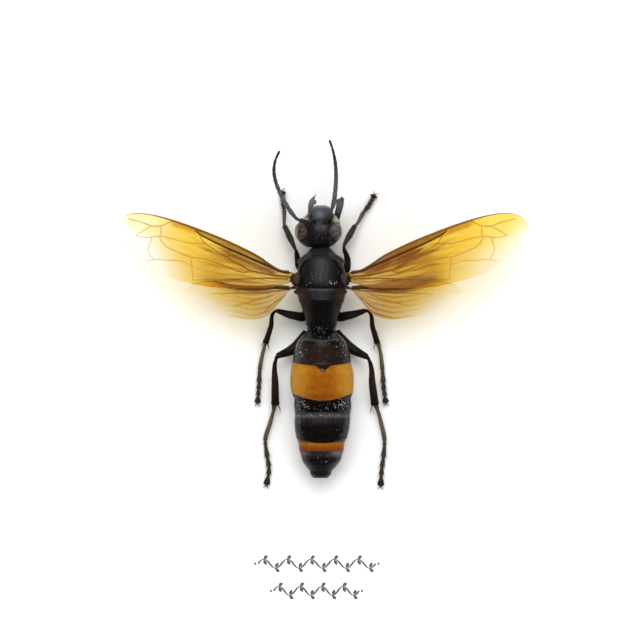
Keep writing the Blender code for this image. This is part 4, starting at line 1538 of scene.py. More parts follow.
@dataclass
class Leg:
    """One leg: hip joint, thigh, shin with spurs, and a five-jointed foot with two claws.

    Attributes:
        place: which leg, such as "fore_left".
        seed: the random seed of its bristles.
        grids: its sections' ring grids once they are built, for the hair.
    """

    place: str
    seed: int
    grids: list[Array] = field(default_factory=list)

    def build(self) -> None:
        """Builds the four sections outwards from the body."""
        inner = LEG_ROOT
        builds = (self.hip, self.thigh, self.shin, self.foot)
        for part, build in zip(("coxa", "femur", "tibia", "tarsus"), builds):
            node = f"{part}_{self.place}"
            route = Route.of_node(node, inner)
            build(node, route)
            inner = route.centres[-1]

    def limb(self, node: str, path: Array, width: Array, marks: Marks, finish: object,
             extra: Sequence[Skin] = (), flat: float = 0.92) -> None:
        """A sweep along path with extra spines of the same finish as one piece."""
        rings = sweep(path, width, width * flat, 24)
        main = striped(rings, marks)
        for spine in extra:
            spine.marks = {name: np.full(len(spine.points), 0.0) for name in marks}
        dress(node, Skin.joined([main, *extra]), finish)
        self.grids.append(rings)

    def hip(self, node: str, route: Route) -> None:
        """The hip joint: a short egg."""
        t = np.linspace(0.0, 1.0, 28)
        path, radius = route.read(t)
        self.limb(node, path, radius * rounded(t, 0.25, 0.25), {"rust": 0.3 * t}, LIMB_BLACK)

    def thigh(self, node: str, route: Route) -> None:
        """The thigh: a stout wedge that narrows evenly to the knee."""
        t = np.linspace(0.0, 1.0, 70)
        path, radius = route.read(t)
        shape = np.interp(t, (0.0, 0.25, 0.55, 0.75, 0.90, 1.0), (1.12, 1.12, 0.98, 0.78, 0.62, 0.52))
        width = radius.max() * shape * rounded(t, 0.04, 0.03)
        marks = {"pale": 0.25 * hill(t, 0.55, 0.3), "rust": 0.5 * rise(0.8, 1.0, t)}
        self.limb(node, path, width, marks, LIMB_BLACK)

    def shin(self, node: str, route: Route) -> None:
        """The shin: a bent neck at the knee, widening to a rim that bears two spurs and short bristles."""
        t = np.linspace(0.0, 1.0, 80)
        path, radius = route.read(t)
        neck = 0.22 * hill(t, 0.075, 0.04)
        width = radius * rounded(t, 0.035, 0.03) * (1.12 - neck + 0.10 * hill(t, 0.965, 0.03))
        end = path[-1]
        along = unit(path[-1] - path[-6])
        side = unit(np.cross(along, UP))
        reach = 0.95 if "hind" in self.place else 0.70 if "mid" in self.place else 0.30
        outward = 1.0 if self.place.endswith("right") else -1.0
        spurs = [
            spike(end + side * s * radius[-1] * 0.75 - UP * 0.02,
                  end + along * reach + side * s * (0.62 if s == outward else 0.30) - UP * 0.12,
                  0.070, side * s * 0.06)
            for s in (-1.0, 1.0)
        ]
        if "fore" in self.place:
            spurs = [spike(end, end + along * reach - UP * 0.05, 0.06, UP * 0.02)]
        random = np.random.default_rng(self.seed)
        at = random.integers(14, 74, 26)
        angle = random.uniform(-0.4, math.pi + 0.4, 26)
        out = side * np.cos(angle)[:, None] + UP * np.sin(angle)[:, None]
        root = path[at] + out * width[at, None] * 0.92
        tip = root + unit(out * 0.55 + along) * random.uniform(0.16, 0.30, (26, 1))
        spines = bristles(root, tip, 0.022, np.zeros(3), 4, 4)
        finish = FOOT_BROWN if "fore" in self.place else LIMB_BLACK
        stripe = 0.6 * hill(t, 0.5, 0.4) if "hind" in self.place else 0.35 * hill(t, 0.6, 0.4)
        self.limb(node, path, width, {"rust": stripe, "dark": rise(0.10, 0.0, t) * 0.8}, finish,
                  [*spurs, spines])

    def foot(self, node: str, route: Route) -> None:
        """The foot: each joint widens to its end, as s^1.5, with spines there and claws on the last."""
        t = np.linspace(0.0, 1.0, 150)
        path, radius = route.read(t)
        joint = np.clip(np.searchsorted(FOOT_JOINTS, t, side="right") - 1, 0, 4)
        within = (t - FOOT_JOINTS[joint]) / (FOOT_JOINTS[joint + 1] - FOOT_JOINTS[joint])
        long_one = np.where(joint == 0, 0.86, 0.66)
        flare = np.where(joint == 0, 0.14, 0.58)
        width = 1.26 * radius * (long_one + flare * within**1.5 - 0.46 * rise(0.92, 1.0, within))
        last = (1.0 if "fore" in self.place else 0.62) * rise(0.885, 0.955, t)
        width = width * (1 + last) * rounded(t, 0.01, 0.02)
        along = unit(np.gradient(path, axis=0))
        spines = []
        ends = np.searchsorted(t, FOOT_JOINTS[1:5]) - 2
        for k in ends:
            side = unit(np.cross(along[k], UP))
            root = path[k] + side * width[k] * np.array((-0.7, 0.7, -0.3, 0.3))[:, None] - UP * 0.03
            tip = root + along[k] * 0.40 + side * np.array((-0.24, 0.24, -0.08, 0.08))[:, None] - UP * 0.04
            spines.append(bristles(root, tip, 0.040, np.zeros(3), 4, 4))
        random = np.random.default_rng(self.seed + 1)
        at = random.integers(8, 140, 40)
        angle = random.uniform(-0.6, math.pi + 0.6, 40)
        side = unit(np.cross(along[at], UP))
        out = side * np.cos(angle)[:, None] + UP * np.sin(angle)[:, None]
        root = path[at] + out * width[at, None] * 0.9
        spines.append(bristles(root, root + unit(out * 0.7 + along[at]) * 0.17, 0.016, np.zeros(3), 3, 3))
        marks = {
            "pale": 0.95 * hill(t, 0.22, 0.2) + 0.25 * hill(t, 0.55, 0.3),
            "rust": 0.3 * (joint > 0),
            "dark": np.clip(0.5 * hill(within, 0.0, 0.10) * (joint > 0) + 0.6 * (last > 0.3), 0, 1),
        }
        self.limb(node, path, width, marks, FOOT_BROWN, spines, 0.80)
        self.claws(node, path[-1], along[-1])

    @staticmethod
    def claws(node: str, end: Array, along: Array) -> None:
        """Two claws that curve apart and down to the board, with a small pad between."""
        side = unit(np.cross(along, UP))
        skins = []
        for s in (-1.0, 1.0):
            root = end - along * 0.03 + side * s * 0.06
            tip = end + along * 0.40 + side * s * 0.40
            tip[2] = max(tip[2] - 0.14, CLAW_FLOOR)
            skins.append(spike(root, tip, 0.060, along * 0.10 + UP * 0.06, 8, 12))
        skins.append(bead(end + along * 0.10 - UP * 0.02, np.array((0.10, 0.10, 0.06)), 8, 12))
        add_piece(f"{node}_claws", Skin.joined(skins), CLAW_PALE)


# ---- Wings ----


@dataclass(frozen=True)
class Vein:
    """A vein: points of (out from the root, ahead of it), radii at its ends, and its colour marks."""

    line: tuple[tuple[float, float], ...]
    start: float
    end: float
    pale: float = 0.0
    rust: float = 0.0
    dark: float = 0.0


FORE_VEINS = (
    Vein(((0.1, 0.33), (1.33, 0.56), (2.44, 1.06), (3.89, 1.67), (5.56, 2.39), (7.22, 3.11), (8.33, 3.61),
          (9.44, 4.17), (10.22, 4.61), (10.7, 5.0)), 0.15, 0.09, 0.0, 0.1, 0.75),
    Vein(((0.1, -0.11), (1.33, 0.0), (2.78, 0.22), (4.67, 0.61)), 0.12, 0.08, 0.2, 0.6, 0.0),
    Vein(((4.67, 0.61), (5.11, 0.39), (5.56, 0.44), (6.89, 0.89), (8.33, 1.44), (10.0, 1.94), (11.33, 2.11),
          (12.78, 2.67), (13.89, 3.17), (14.56, 3.89), (14.78, 4.39)), 0.07, 0.05, 0.5, 0.4),
    Vein(((4.67, 0.61), (6.67, 1.78), (8.33, 2.78), (9.67, 3.61), (10.33, 4.61)), 0.075, 0.06, 0.2, 0.6),
    Vein(((9.67, 3.56), (11.33, 3.61), (13.33, 4.11), (14.78, 4.39), (16.11, 4.22), (17.44, 4.44)),
         0.06, 0.04, 0.6, 0.2),
    Vein(((13.0, 6.1), (13.44, 6.0), (14.44, 5.56), (15.56, 5.5), (16.67, 5.89), (18.33, 6.33)),
         0.07, 0.05, 0.4, 0.4),
    Vein(((14.56, 5.5), (14.56, 4.39)), 0.05, 0.05, 0.5, 0.4),
    Vein(((15.78, 5.44), (16.33, 5.11), (16.89, 4.78), (17.44, 4.39)), 0.05, 0.035, 0.6, 0.2),
    Vein(((15.6, 4.3), (15.67, 4.0), (16.0, 2.89), (15.44, 1.78)), 0.045, 0.04, 0.7, 0.1),
    Vein(((11.0, 1.11), (12.22, 1.61), (13.89, 1.72), (15.56, 1.78), (16.22, 1.61)), 0.05, 0.035, 0.7, 0.1),
    Vein(((11.22, 2.11), (11.11, 0.89), (11.0, -0.44)), 0.05, 0.04, 0.6, 0.3),
    Vein(((0.3, -0.35), (2.8, -0.25), (5.6, -0.35), (8.4, -0.45), (11.0, -0.44)), 0.07, 0.045, 0.3, 0.4, 0.2),
)
HIND_VEINS = (
    Vein(((0.1, -0.06), (3.0, 0.10), (6.89, 0.33), (9.11, 0.78)), 0.16, 0.07, 0.0, 0.1, 0.9),
    Vein(((0.1, -0.15), (2.78, -0.44), (5.56, -0.56), (8.0, -0.62), (9.4, -0.66)), 0.08, 0.03, 0.4, 0.5),
    Vein(((2.22, -0.78), (4.44, -1.44), (6.67, -2.0)), 0.05, 0.035, 0.6, 0.3),
    Vein(((0.6, -0.8), (2.0, -1.67), (3.11, -2.56)), 0.05, 0.03, 0.5, 0.4),
    Vein(((6.2, -0.58), (6.6, 0.30)), 0.045, 0.04, 0.4, 0.5),
)


@dataclass
class Wing:
    """One wing: a pleated film over the outline of its CAD plate, and raised veins on top.

    Attributes:
        node: the CAD node.
        veins: its veins, laid out for a wing of full span.
        span: the span that the veins are laid out for, from the root.
        inset: how far the plate runs inwards of the root.
        ahead: y of the root.
        lightness: above 0 for a paler wing.
        seed: shifts its pleats.
        overlap: how far its rear edge runs on over the wing behind it.
    """

    node: str
    veins: tuple[Vein, ...]
    span: float
    inset: float
    ahead: float
    lightness: float = 0.0
    seed: float = 0.0
    overlap: float = 0.0

    def __post_init__(self) -> None:
        """Reads the outline: distance out, front and rear edges ahead of the root, and heights."""
        corners = corners_of(self.node)
        self.sign = math.copysign(1.0, corners[0, 0])
        places = sorted(set(corners[:, 0].round(2)), key=abs)
        edges, kept = [], []
        for place in places:
            station = corners[np.abs(corners[:, 0] - place) < 0.02]
            if len(station) < 4:
                continue
            kept.append(place)
            front = station[station[:, 1] > station[:, 1].max() - 0.01].mean(0)
            rear = station[station[:, 1] < station[:, 1].min() + 0.01].mean(0)
            edges.append((front[1], front[2], rear[1], rear[2]))
        self.edges = np.array(edges)
        across = np.abs(np.array(kept))
        self.stretch = (across[-1] - across[0]) / (self.span + self.inset)
        self.out = across - across[0] - self.inset * self.stretch
        self.edges[:, 2] -= self.overlap * rise(0.3, 2.5, self.out) * rise(13.5, 10.0, self.out)
        self.root = np.array((self.sign * (across[0] + self.inset * self.stretch), self.ahead))

    def surface(self, out: Array, share: Array) -> Array:
        """Points of the middle sheet at distances out and shares of the chord from front (0) to rear (1).

        The chord closes in a half ellipse over the last 1.1 mm, and the sheet is pleated:
        z += 0.045 sin(...) along the chord, growing outwards.
        """
        tip = self.out[-1]
        read = smooth_through(self.out, self.edges, out.ravel()).reshape(*out.shape, 4)
        close = np.sqrt(np.clip(1 - np.clip((out - tip + 1.1) / 1.1, 0, 1) ** 2, 0.0, 1.0))
        within = 0.5 + (share - 0.5) * close
        y = read[..., 0] + (read[..., 2] - read[..., 0]) * within
        z = read[..., 1] + (read[..., 3] - read[..., 1]) * within
        pleat = np.sin(2 * math.pi * (share * 5.5 + self.seed))
        pleat = pleat + 0.5 * np.sin(2 * math.pi * (share * 11 + out * 0.11))
        wave = np.sin(out * 0.55 + self.seed * 3) * np.sin(math.pi * share)
        z = z + 0.045 * pleat * rise(0.5, 5.0, out) * close + 0.07 * wave * rise(1.0, 8.0, out) * close
        x = self.root[0] + self.sign * out
        return np.stack(np.broadcast_arrays(x, y, z), -1)

    def raised(self, line: Array, lift: float) -> Array:
        """A line of (out, ahead) in the wing's full-span layout, laid on the sheet."""
        out = line[:, 0] * self.stretch
        read = smooth_through(self.out, self.edges, out)
        y = self.root[1] + line[:, 1]
        share = np.clip((y - read[:, 0]) / (read[:, 2] - read[:, 0]), 0.0, 1.0)
        path = self.surface(out, share)
        path[:, 2] += lift
        return path

    def vein_share(self, out: Array, ahead: Array, width: float) -> Array:
        """How near each place lies to a vein, 1 on it."""
        near = np.zeros_like(out)
        for vein in self.veins:
            near = np.maximum(near, hill(line_distance(out, ahead, vein.line), 0.0, width))
        return near

    def fading(self, out: Array, share: Array, reach: float) -> Array:
        """1 on the hind and outer margin, where the film is clear, falling to 0 reach millimetres inside."""
        read = smooth_through(self.out, self.edges, (out * self.stretch).ravel()).reshape(*out.shape, 4)
        behind = (read[..., 0] - read[..., 2]) * (1 - share) * 0.72
        beyond = (self.out[-1] / self.stretch - out) * (0.9 + 3.0 * (1 - share))
        return 1 - rise(0.0, reach, np.minimum(behind, beyond))

    def streaks(self, out: Array, share: Array, count: float) -> Array:
        """Dark streaks fanning from the root: (0.5 + 0.5 sin(2 pi n s'))^2, s' the bent share, part finer."""
        bent = share**0.85 + 0.020 * np.sin(out * 0.9 + self.seed * 9) + 0.010 * np.sin(out * 2.3)
        broad = 0.5 + 0.5 * np.sin(2 * math.pi * (count * bent + self.seed))
        fine = 0.5 + 0.5 * np.sin(2 * math.pi * (2.7 * count * bent + 0.3))
        return broad**2 * (0.55 + 0.45 * fine)

    def marks(self, out: Array, ahead: Array, share: Array) -> Marks:
        """The film's tint and cover in full-span layout; subclasses say where."""
        raise NotImplementedError

    def build(self) -> None:
        """Builds the film and the veins."""
        self.film()
        self.vein_piece()

    def film(self) -> None:
        """The film: the middle sheet moved up and down by HALF_FILM and joined at its rims."""
        tip = self.out[-1]
        inner = self.out[0]
        run = inner + (tip - inner) * (1 - (1 - np.linspace(0.0, 0.9995, 240)) ** 1.35)[:, None]
        chord = np.linspace(0.0, 1.0, 84)[None]
        top = self.surface(run, chord)
        half = HALF_FILM * np.sqrt(np.clip(np.sin(math.pi * np.clip(chord, 0.004, 0.996)), 0.0, 1.0))
        over, under = top.copy(), top[:, ::-1].copy()
        over[..., 2] += half
        under[..., 2] -= half
        rings = np.concatenate([over, under], 1)
        out = np.broadcast_to(run, top.shape[:2]) / self.stretch
        marks = self.marks(out, top[..., 1] - self.root[1], np.broadcast_to(chord, out.shape))
        both = {name: np.concatenate([grid, grid[:, ::-1]], 1) for name, grid in marks.items()}
        add_piece(f"{self.node}_film", closed(rings, both), MEMBRANE, (self.node,))

    def vein_piece(self) -> None:
        """The veins: thin tapering sweeps, and a stouter one along the front edge."""
        tip = self.out[-1] / self.stretch
        skins = []
        for vein in self.veins:
            line = np.array(vein.line)
            knots = np.concatenate([[0.0], np.cumsum(np.hypot(*np.diff(line, axis=0).T))])
            at = np.linspace(0.0, knots[-1], max(16, int(knots[-1] * 6)))
            t = at / knots[-1]
            straight = line[0] + (line[1] - line[0]) * t[:, None]
            flat = smooth_through(knots, line, at) if len(line) > 2 else straight
            fine = 1 - 0.42 * rise(3.0, 12.0, flat[:, 0]) * (1 - vein.dark)
            width = (vein.start + (vein.end - vein.start) * t) * rounded(t, 0.03, 0.05) * fine
            rings = sweep(self.raised(flat, 0.02), width, width * 0.75, 10)
            bright = np.clip(vein.pale + 0.40 * rise(5.0, 14.0, flat[:, 0]) * (1 - vein.dark), 0, 1)
            red = vein.rust * (1 - 0.85 * rise(4.0, 11.0, flat[:, 0]))
            rows = {"pale": bright, "rust": red, "dark": vein.dark * (1 - 0.4 * t)}
            skins.append(striped(rings, rows))
        out = np.linspace(0.2, tip * 0.93, 110)
        edge = self.surface(out * self.stretch, np.full(110, 0.006))
        width = (0.13 - 0.085 * rise(0.45, 0.95, out / tip)) * (1 if "fore" in self.node else 0.62)
        width = width * rounded(out / out[-1], 0.02, 0.3)
        rings = sweep(edge, width, width * 0.8, 10)
        rows = {
            "pale": 0.30 + 0.5 * rise(0.5, 0.9, out / tip),
            "rust": 0.5 + 0 * out,
            "dark": 0.35 * rise(0.5, 0.1, out / tip),
        }
        skins.append(striped(rings, rows))
        add_piece(f"{self.node}_veins", Skin.joined(skins), VEIN_BROWN)


@dataclass
class Forewing(Wing):
    """A forewing: brown leading strip and stigma, golden inner cells and a clear yellow outer part."""

    def marks(self, out: Array, ahead: Array, share: Array) -> Marks:
        """Tint, cover and colour shifts; distances in millimetres from the root."""
        xs, ys = np.array(FORE_VEINS[0].line).T
        lead = ahead - np.interp(out, xs, ys)
        strip = rise(-0.12, 0.10, lead) * rise(11.2, 10.4, out)
        stigma = rise(10.2, 11.0, out) * rise(13.9, 12.8, out) * rise(0.16, 0.05, share)
        inner = rise(12.5, 5.5, out)
        outer = rise(11.5, 16.5, out)
        fade = self.fading(out, share, 3.4) * rise(8.5, 13.0, out)
        anal = hill(share, 0.83, 0.080) * rise(11.5, 8.5, out) * rise(1.5, 4.5, out)
        anal = anal * (1 - 0.5 * self.lightness)
        root = rise(2.6, 0.6, out)
        beneath = hill(lead, -0.54, 0.38) * rise(8.6, 6.8, out) * rise(0.9, 2.2, out)
        middle = hill(lead, -1.25, 0.30) * rise(12.0, 9.0, out) * rise(4.0, 6.0, out)
        smoke = hill(np.hypot((out - 8.9) * 0.62, ahead - 1.25), 0.0, 0.95)
        near = self.vein_share(out, ahead, 0.10)
        streak = self.streaks(out, share, 8.0)
        streak = streak * (1 - 0.75 * strip)
        amber = 1.0 - 0.16 * outer - 0.24 * outer * rise(0.20, 0.80, share) - 0.50 * fade
        amber = amber - self.lightness * (0.10 + 0.62 * outer) - 0.24 * rise(6.5, 2.0, out)
        cover = 0.10 + 0.24 * inner - 0.09 * outer + 0.48 * strip + 0.66 * stigma + 0.34 * anal
        cover = cover + 0.12 * root + 0.72 * beneath + 0.34 * middle + 0.12 * near + 0.26 * smoke
        cover = cover + (0.30 * streak - 0.06) * rise(14.0, 7.0, out)
        rust = 0.24 * inner + 0.62 * strip * rise(1.5, 6.0, out) + 0.98 * beneath + 0.70 * middle
        rust = rust + 0.55 * anal + 0.78 * streak * inner + 0.30 * smoke
        dark = 0.50 * hill(lead, 0.04, 0.14) * rise(10.8, 9.8, out) + 0.16 * root + 0.26 * anal
        dark = dark + 0.18 * beneath + 0.07 * streak * inner
        dull = 0.55 * anal + 0.60 * strip * rise(8.0, 3.0, out)
        dull = dull + 0.45 * rise(0.4, 0.8, share) * inner + 0.40 * rise(5.0, 1.5, out)
        gold_root = hill(out, 1.5, 0.9) * hill(ahead, 0.05, 0.28)
        cover = cover * (1 - 0.52 * self.lightness) * (1 - 0.9 * fade)
        return {
            "amber": np.clip(amber, 0, 1),
            "dull": np.clip(dull, 0, 1),
            "cover": np.clip(cover, 0.012, 0.95),
            "rust": np.clip(rust * (1 - 0.9 * gold_root) - 0.15 * self.lightness - 0.4 * stigma, 0, 1),
            "dark": np.clip(dark * (1 - gold_root), 0, 1),
        }


@dataclass
class Hindwing(Wing):
    """A hindwing: brown along its front, golden in the middle and clear towards its hind edge."""

    def marks(self, out: Array, ahead: Array, share: Array) -> Marks:
        """Tint, cover and colour shifts; distances in millimetres from the root."""
        front = hill(share, 0.04, 0.12) * rise(10.5, 7.0, out) * rise(0.3, 3.0, out)
        inner = rise(9.5, 3.5, out)
        outer = rise(6.5, 11.5, out)
        fade = self.fading(out, share, 2.6) * rise(3.5, 8.5, out)
        lobe = rise(0.55, 0.95, share) * rise(5.0, 2.5, out)
        near = self.vein_share(out, ahead, 0.12)
        streak = self.streaks(out, share, 7.0)
        amber = 0.86 - 0.38 * outer - 0.28 * rise(0.4, 1.0, share) - 0.36 * fade - 0.30 * rise(5.0, 1.5, out)
        cover = 0.08 + 0.20 * inner + 0.86 * front + 0.16 * near * inner + 0.10 * lobe
        cover = cover + (0.40 * streak - 0.08) * rise(10.5, 4.5, out)
        rust = 0.20 * inner + 0.95 * front + 0.72 * streak * inner + 0.12 * lobe
        cover = cover * (1 - 0.30 * self.lightness) * (1 - 0.9 * fade)
        return {
            "amber": np.clip(amber - 0.08 * self.lightness, 0, 1),
            "dull": 0.70 * rise(11.0, 5.0, out) * (1 - 0.5 * front),
            "cover": np.clip(cover - 0.04 * outer, 0.012, 0.95),
            "rust": np.clip(rust - 0.15 * self.lightness, 0, 1),
            "dark": np.clip(0.80 * front * rise(9.0, 5.5, out) + 0.05 * streak * inner, 0, 1),
        }


@dataclass
class Tegula:
    """The small ribbed shield over a forewing's root."""

    side: str

    def build(self) -> None:
        """A flattened bead, ribbed from side to side: z += 0.018 sin(31 u), u = 0 to 1 across it."""
        node = f"tegula_{self.side}"
        low, high = box_mm(node)
        middle = (low + high) / 2 - np.array((math.copysign(0.26, low[0]), 0.0, -0.05))
        skin = bead(middle, (high - low) / 2 * np.array((0.92, 0.98, 1.1)), 30, 48)
        across = (skin.points[:, 0] - low[0]) / (high[0] - low[0])
        ribs = np.sin(across * 31.0)
        skin.points[:, 2] += 0.018 * ribs
        # Pale on the rib crests is a painted highlight; rust grows towards +x.
        skin.marks = {"pale": 0.5 * np.clip(ribs, 0, 1), "rust": 0.4 * rise(0.6, 1.0, across)}
        dress(node, skin, TEGULA_BROWN)


# ---- Board, glue, ornament, and dust and painted glints ----


def build_glue() -> None:
    """The dab of glue: a low dome with a wavy rim, r = R(1 + 0.05 cos 5a + 0.03 cos 3a)."""
    low, high = box_mm("glue_dab")
    middle, half = (low + high) / 2, (high - low) / 2
    climb = np.linspace(0.02, 1.0, 30)[:, None]
    angle = turns(64)[None]
    wavy = 1 + 0.05 * np.cos(5 * angle) + 0.03 * np.cos(3 * angle + 1)
    radius = half[0] * wavy * np.sqrt(1 - climb**2.2 * 0.9)
    height = low[2] + (high[2] - low[2]) * climb + 0 * angle
    rings = np.stack([middle[0] + radius * np.cos(angle), middle[1] + radius * np.sin(angle), height], -1)
    base = rings[:1].copy()
    base[..., 2] = low[2] - 0.05
    dress("glue_dab", closed(np.concatenate([base, rings])), GLUE)


@dataclass(frozen=True)
class Ornament:
    """Two drawn lines of pen ornament under the insect: leafy waving stems with a dot at each end.

    Attributes:
        face: height of the board's front face.
    """

    face: float

    def stroke(self, x: Array, y: Array, width: Array) -> Skin:
        """A flat ink ribbon along a line."""
        path = np.stack([x, y, np.full_like(x, self.face + 0.003)], -1)
        return closed(sweep(path, width, np.full_like(x, 0.010), 8))

    def leaf(self, x: float, y: float, reach: float, rise_by: float) -> Skin:
        """A small leaf: a ribbon that swells in the middle, w = 0.02 + 0.17 sin(pi t)."""
        t = np.linspace(0.0, 1.0, 14)
        return self.stroke(x + reach * t, y + rise_by * t**0.8, 0.02 + 0.17 * np.sin(math.pi * t))

    def vine(self, start: float, span: float, level: float, waves: int) -> list[Skin]:
        """A waving stem, y = a sin(2 pi n t), with a pair of leaves in every bow and a dot at each end."""
        t = np.linspace(0.0, 1.0, 90 * waves)
        width = 0.045 + 0.060 * (0.5 + 0.5 * np.cos(4 * math.pi * waves * t))
        skins = [self.stroke(start + span * t, level + 0.52 * np.sin(2 * math.pi * waves * t), width)]
        for k in range(2 * waves):
            middle = start + span * (k + 0.5) / (2 * waves)
            up = -1.0 if k % 2 else 1.0
            skins.append(self.leaf(middle - 0.02, level + 0.54 * up, 0.44, 0.36 * up))
            skins.append(self.leaf(middle - 0.02, level + 0.50 * up, 0.30, -0.62 * up))
        for at in (start - 0.32, start + span + 0.32):
            size = np.linspace(-0.13, 0.13, 10)
            round_width = np.sqrt(np.maximum(0.0172 - size**2, 1e-5))
            skins.append(self.stroke(at + size, level + 0 * size, round_width))
        return skins

    def build(self) -> None:
        """Builds the ink as one piece."""
        skins = []
        for start, span, level, waves in ((-6.95, 13.2, -27.35, 5), (-5.20, 9.6, -30.40, 4)):
            skins.extend(self.vine(start, span, level, waves))
        add_piece("pen_ornament", Skin.joined(skins), INK)


@dataclass(frozen=True)
class DustAndGlints:
    """Pale flakes lying on the back: partly dust, partly painted glints, such as the spot on the second
    ring's dark wedge.

    Attributes:
        seed: the random seed.
    """

    seed: int = 11

    def build(self, grids: Sequence[Array]) -> None:
        """Builds every flake as one piece, each laid on the nearest corner of the body's surfaces."""
        patches = (
            # Some patches are painted glints, not dust, such as the small one at (0.3, -5.50) on the dark
            # wedge.
            # x, y, spread across, spread ahead, count, size
            (1.35, 4.05, 0.36, 0.16, 7, 0.090), (-1.1, 4.2, 0.20, 0.15, 3, 0.060),
            (-2.98, -7.30, 0.06, 0.14, 2, 0.16), (-2.2, -9.3, 0.60, 0.50, 42, 0.075),
            (2.4, -9.5, 0.55, 0.45, 38, 0.075), (0.4, -9.8, 1.4, 0.35, 34, 0.055),
            (0.1, -10.5, 2.0, 0.08, 22, 0.060), (-2.4, -3.0, 0.40, 0.8, 34, 0.075),
            (2.4, -3.1, 0.40, 0.8, 30, 0.070), (0.3, -5.50, 0.10, 0.08, 3, 0.080),
            (0.2, -3.6, 1.6, 0.9, 24, 0.035), (0.1, 5.0, 1.5, 1.5, 26, 0.035),
            (0.3, -10.58, 0.08, 0.05, 3, 0.100), (0.0, 10.2, 0.9, 0.9, 18, 0.035),
            (0.2, -7.0, 2.4, 0.9, 40, 0.034), (0.3, -15.6, 1.4, 0.6, 26, 0.050),
            (2.6, -6.2, 0.4, 0.9, 14, 0.060), (0.1, -1.0, 0.8, 0.25, 20, 0.045),
            (0.2, -1.7, 1.6, 0.25, 18, 0.060), (-2.2, -12.0, 0.5, 0.8, 18, 0.045),
            (2.3, -12.0, 0.5, 0.8, 16, 0.045),
        )
        random = np.random.default_rng(self.seed)
        cloud = np.concatenate([grid.reshape(-1, 3) for grid in grids])
        normal = np.concatenate([normals_of(grid).reshape(-1, 3) for grid in grids])
        seen = normal[:, 2] > 0.15
        cloud, normal = cloud[seen], normal[seen]
        centres, sizes = [], []
        for x, y, across, ahead, count, size in patches:
            centres.append(np.column_stack([random.normal(x, across, count), random.normal(y, ahead, count)]))
            sizes.append(0.62 * size * random.uniform(0.5, 1.3, count))
        centre, size = np.concatenate(centres), np.concatenate(sizes)
        nearest = np.array([np.argmin(np.hypot(*(cloud[:, :2] - place).T)) for place in centre])
        at, out = cloud[nearest], normal[nearest]
        side = unit(np.cross(out, np.array((0.2, 1.0, 0.1))))
        other = np.cross(out, side)
        angle = turns(6)
        wobble = random.uniform(0.6, 1.3, (len(at), 1, 6))
        level = np.array((-0.12, 0.30, 0.42))[None, :, None]
        reach = np.array((0.85, 1.0, 0.55))[None, :, None] * wobble
        ring = (
            side[:, None, None] * (reach * np.cos(angle) * 0.8)[..., None]
            + other[:, None, None] * (reach * np.sin(angle) * 1.5)[..., None]
            + out[:, None, None] * (level + 0 * reach)[..., None]
        )
        rings = at[:, None, None] + ring * size[:, None, None, None]
        add_piece("dust_and_glint_flakes", many(rings), DUST_AND_GLINT)


# ---- Studio ----


@dataclass(frozen=True)
class Lamp:
    """A large soft lamp aimed at the insect. Angles in degrees, lengths in metres."""

    name: str
    azimuth: float
    elevation: float
    distance: float
    size: float
    watts: float
    shine: bool = True

    def build(self) -> None:
        """Hangs the lamp. The camera does not see it, and gloss mirrors it only where shine is set."""
        data = bpy.data.lights.new(self.name, "AREA")
        data.shape = "DISK"
        data.size = self.size
        data.energy = self.watts
        lamp = bpy.data.objects.new(self.name, data)
        bpy.context.scene.collection.objects.link(lamp)
        around, up = math.radians(self.azimuth), math.radians(self.elevation)
        lamp.location = (
            self.distance * math.cos(up) * math.sin(around),
            self.distance * math.cos(up) * math.cos(around),
            self.distance * math.sin(up),
        )
        lamp.rotation_euler = (math.pi / 2 - up, 0.0, math.pi - around)
        lamp.visible_camera = False
        lamp.visible_glossy = self.shine


@dataclass(frozen=True)
class Studio:
    """Camera, lamps, sky and floor."""

    height_mm: float = 401.5

    def build(self) -> None:
        """Builds the studio round the object."""
        scene = bpy.context.scene
        scene.view_settings.view_transform = "Standard"
        data = bpy.data.cameras.new("camera_above")
        data.lens = 200.0
        data.sensor_width = 36.0
        data.clip_start = 0.01
        data.clip_end = 10.0
        camera = bpy.data.objects.new("camera_above", data)
        scene.collection.objects.link(camera)
        camera.location = (0.0, 0.0, self.height_mm * MM)
        scene.camera = camera
        for lamp in (
            Lamp("lamp_ahead", 0.0, 58.0, 1.9, 1.9, 25.0, False),
            Lamp("lamp_gleam", 0.0, 50.0, 1.9, 1.1, 9.0),
            Lamp("lamp_left", -85.0, 40.0, 1.9, 2.2, 15.0, False),
            Lamp("lamp_right", 85.0, 40.0, 1.9, 2.2, 15.0, False),
            Lamp("lamp_behind", 180.0, 36.0, 1.9, 1.5, 11.0, False),
        ):
            lamp.build()
        self.sky()
        self.floor()

    @staticmethod
    def sky() -> None:
        """A dim even surround."""
        world = bpy.data.worlds.new("studio_surround")
        world.use_nodes = True
        world.node_tree.nodes["Background"].inputs["Color"].default_value = (1.0, 1.0, 1.0, 1.0)
        world.node_tree.nodes["Background"].inputs["Strength"].default_value = 0.12
        bpy.context.scene.world = world

    @staticmethod
    def floor() -> None:
        """A plain pale floor under the board."""
        half = 1.5
        mesh = bpy.data.meshes.new("floor")
        corners = [(-half, -half, 0.0), (half, -half, 0.0), (half, half, 0.0), (-half, half, 0.0)]
        mesh.from_pydata(corners, [], [(0, 1, 2, 3)])
        finish = Plain("floor_pale", (0.66, 0.66, 0.66), (0.64, 0.64, 0.64), 0.9, 0.02)
        mesh.materials.append(finish.material())
        floor = bpy.data.objects.new("floor", mesh)
        bpy.context.scene.collection.objects.link(floor)


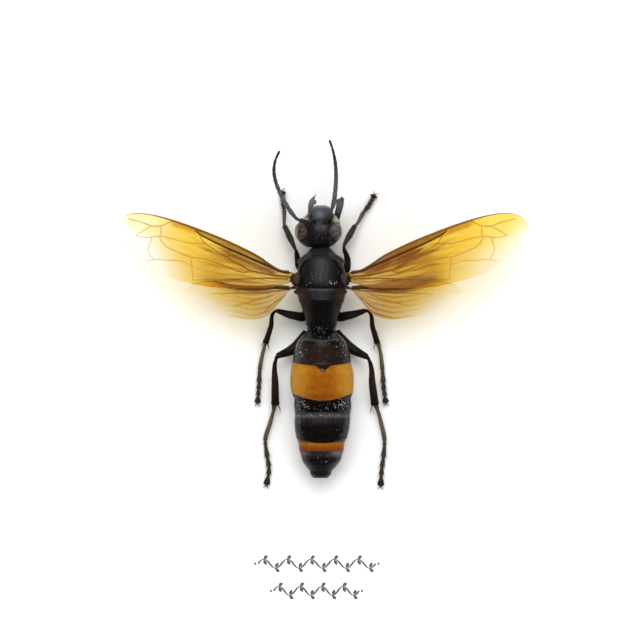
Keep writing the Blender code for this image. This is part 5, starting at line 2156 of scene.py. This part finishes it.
def build_hair(head: Head, thorax: Thorax, gaster: Gaster, legs: Sequence[Leg]) -> None:
    """The short hair: pale down on the body, darker hair on the legs."""
    Fuzz("body_down", HAIR_PALE, Slot.BROWN, thorax.grids, [500, 1100, 350, 200, 500], 0.22, 0.008,
         (0.0, -0.5, 0.0), facing_up, 3).build()
    Fuzz("head_down", HAIR_DARK, Slot.BROWN, head.grids, [900], 0.22, 0.010,
         (0.0, 0.3, 0.0), facing_up, 4).build()
    Fuzz("gaster_down", HAIR_PALE, Slot.BROWN, gaster.grids, [500, 400, 160, 300, 150, 350, 160], 0.20, 0.008,
         (0.0, -1.0, 0.0), facing_aside, 5).build()
    grids = [grid for leg in legs for grid in leg.grids]
    counts = [40, 110, 110, 120] * len(legs)
    Fuzz("leg_down", HAIR_DARK, Slot.BROWN, grids, counts, 0.13, 0.008,
         (0.0, -0.5, 0.0), facing_up, 6).build()


def main() -> None:
    """Builds the whole model in order, sets the studio and hands the scene over."""
    logging.basicConfig(level=logging.INFO, format="%(name)s: %(message)s")
    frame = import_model()
    FRAME_NODES.update(frame["nodes"])
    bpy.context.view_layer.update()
    board = frame["nodes"]["mounting_board"]
    board.data.materials.clear()
    board.data.materials.append(PAPER.material())
    _, top = box_mm("mounting_board")
    build_glue()
    Ornament(top[2]).build()
    head, thorax, gaster = Head(), Thorax(), Gaster()
    head.build()
    thorax.build()
    gaster.build()
    places = [f"{row}_{side}" for row in ("fore", "mid", "hind") for side in ("left", "right")]
    legs = [Leg(place, 20 + k) for k, place in enumerate(places)]
    for leg in legs:
        leg.build()
    for wing in (
        Forewing("forewing_left", FORE_VEINS, 19.9, 0.75, 4.89, 0.6, 0.35, 0.38),
        Forewing("forewing_right", FORE_VEINS, 19.9, 0.75, 4.89, 0.0, 0.0, 0.38),
        Hindwing("hindwing_left", HIND_VEINS, 12.55, 0.50, 3.55, 0.6, 0.2),
        Hindwing("hindwing_right", HIND_VEINS, 12.55, 0.50, 3.55, 0.0, 0.6),
    ):
        wing.build()
    for side in ("left", "right"):
        Tegula(side).build()
    DustAndGlints().build([*head.grids, *thorax.grids, *gaster.grids])
    build_hair(head, thorax, gaster, legs)
    Studio().build()
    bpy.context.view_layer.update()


if __name__ == "__main__":
    main()
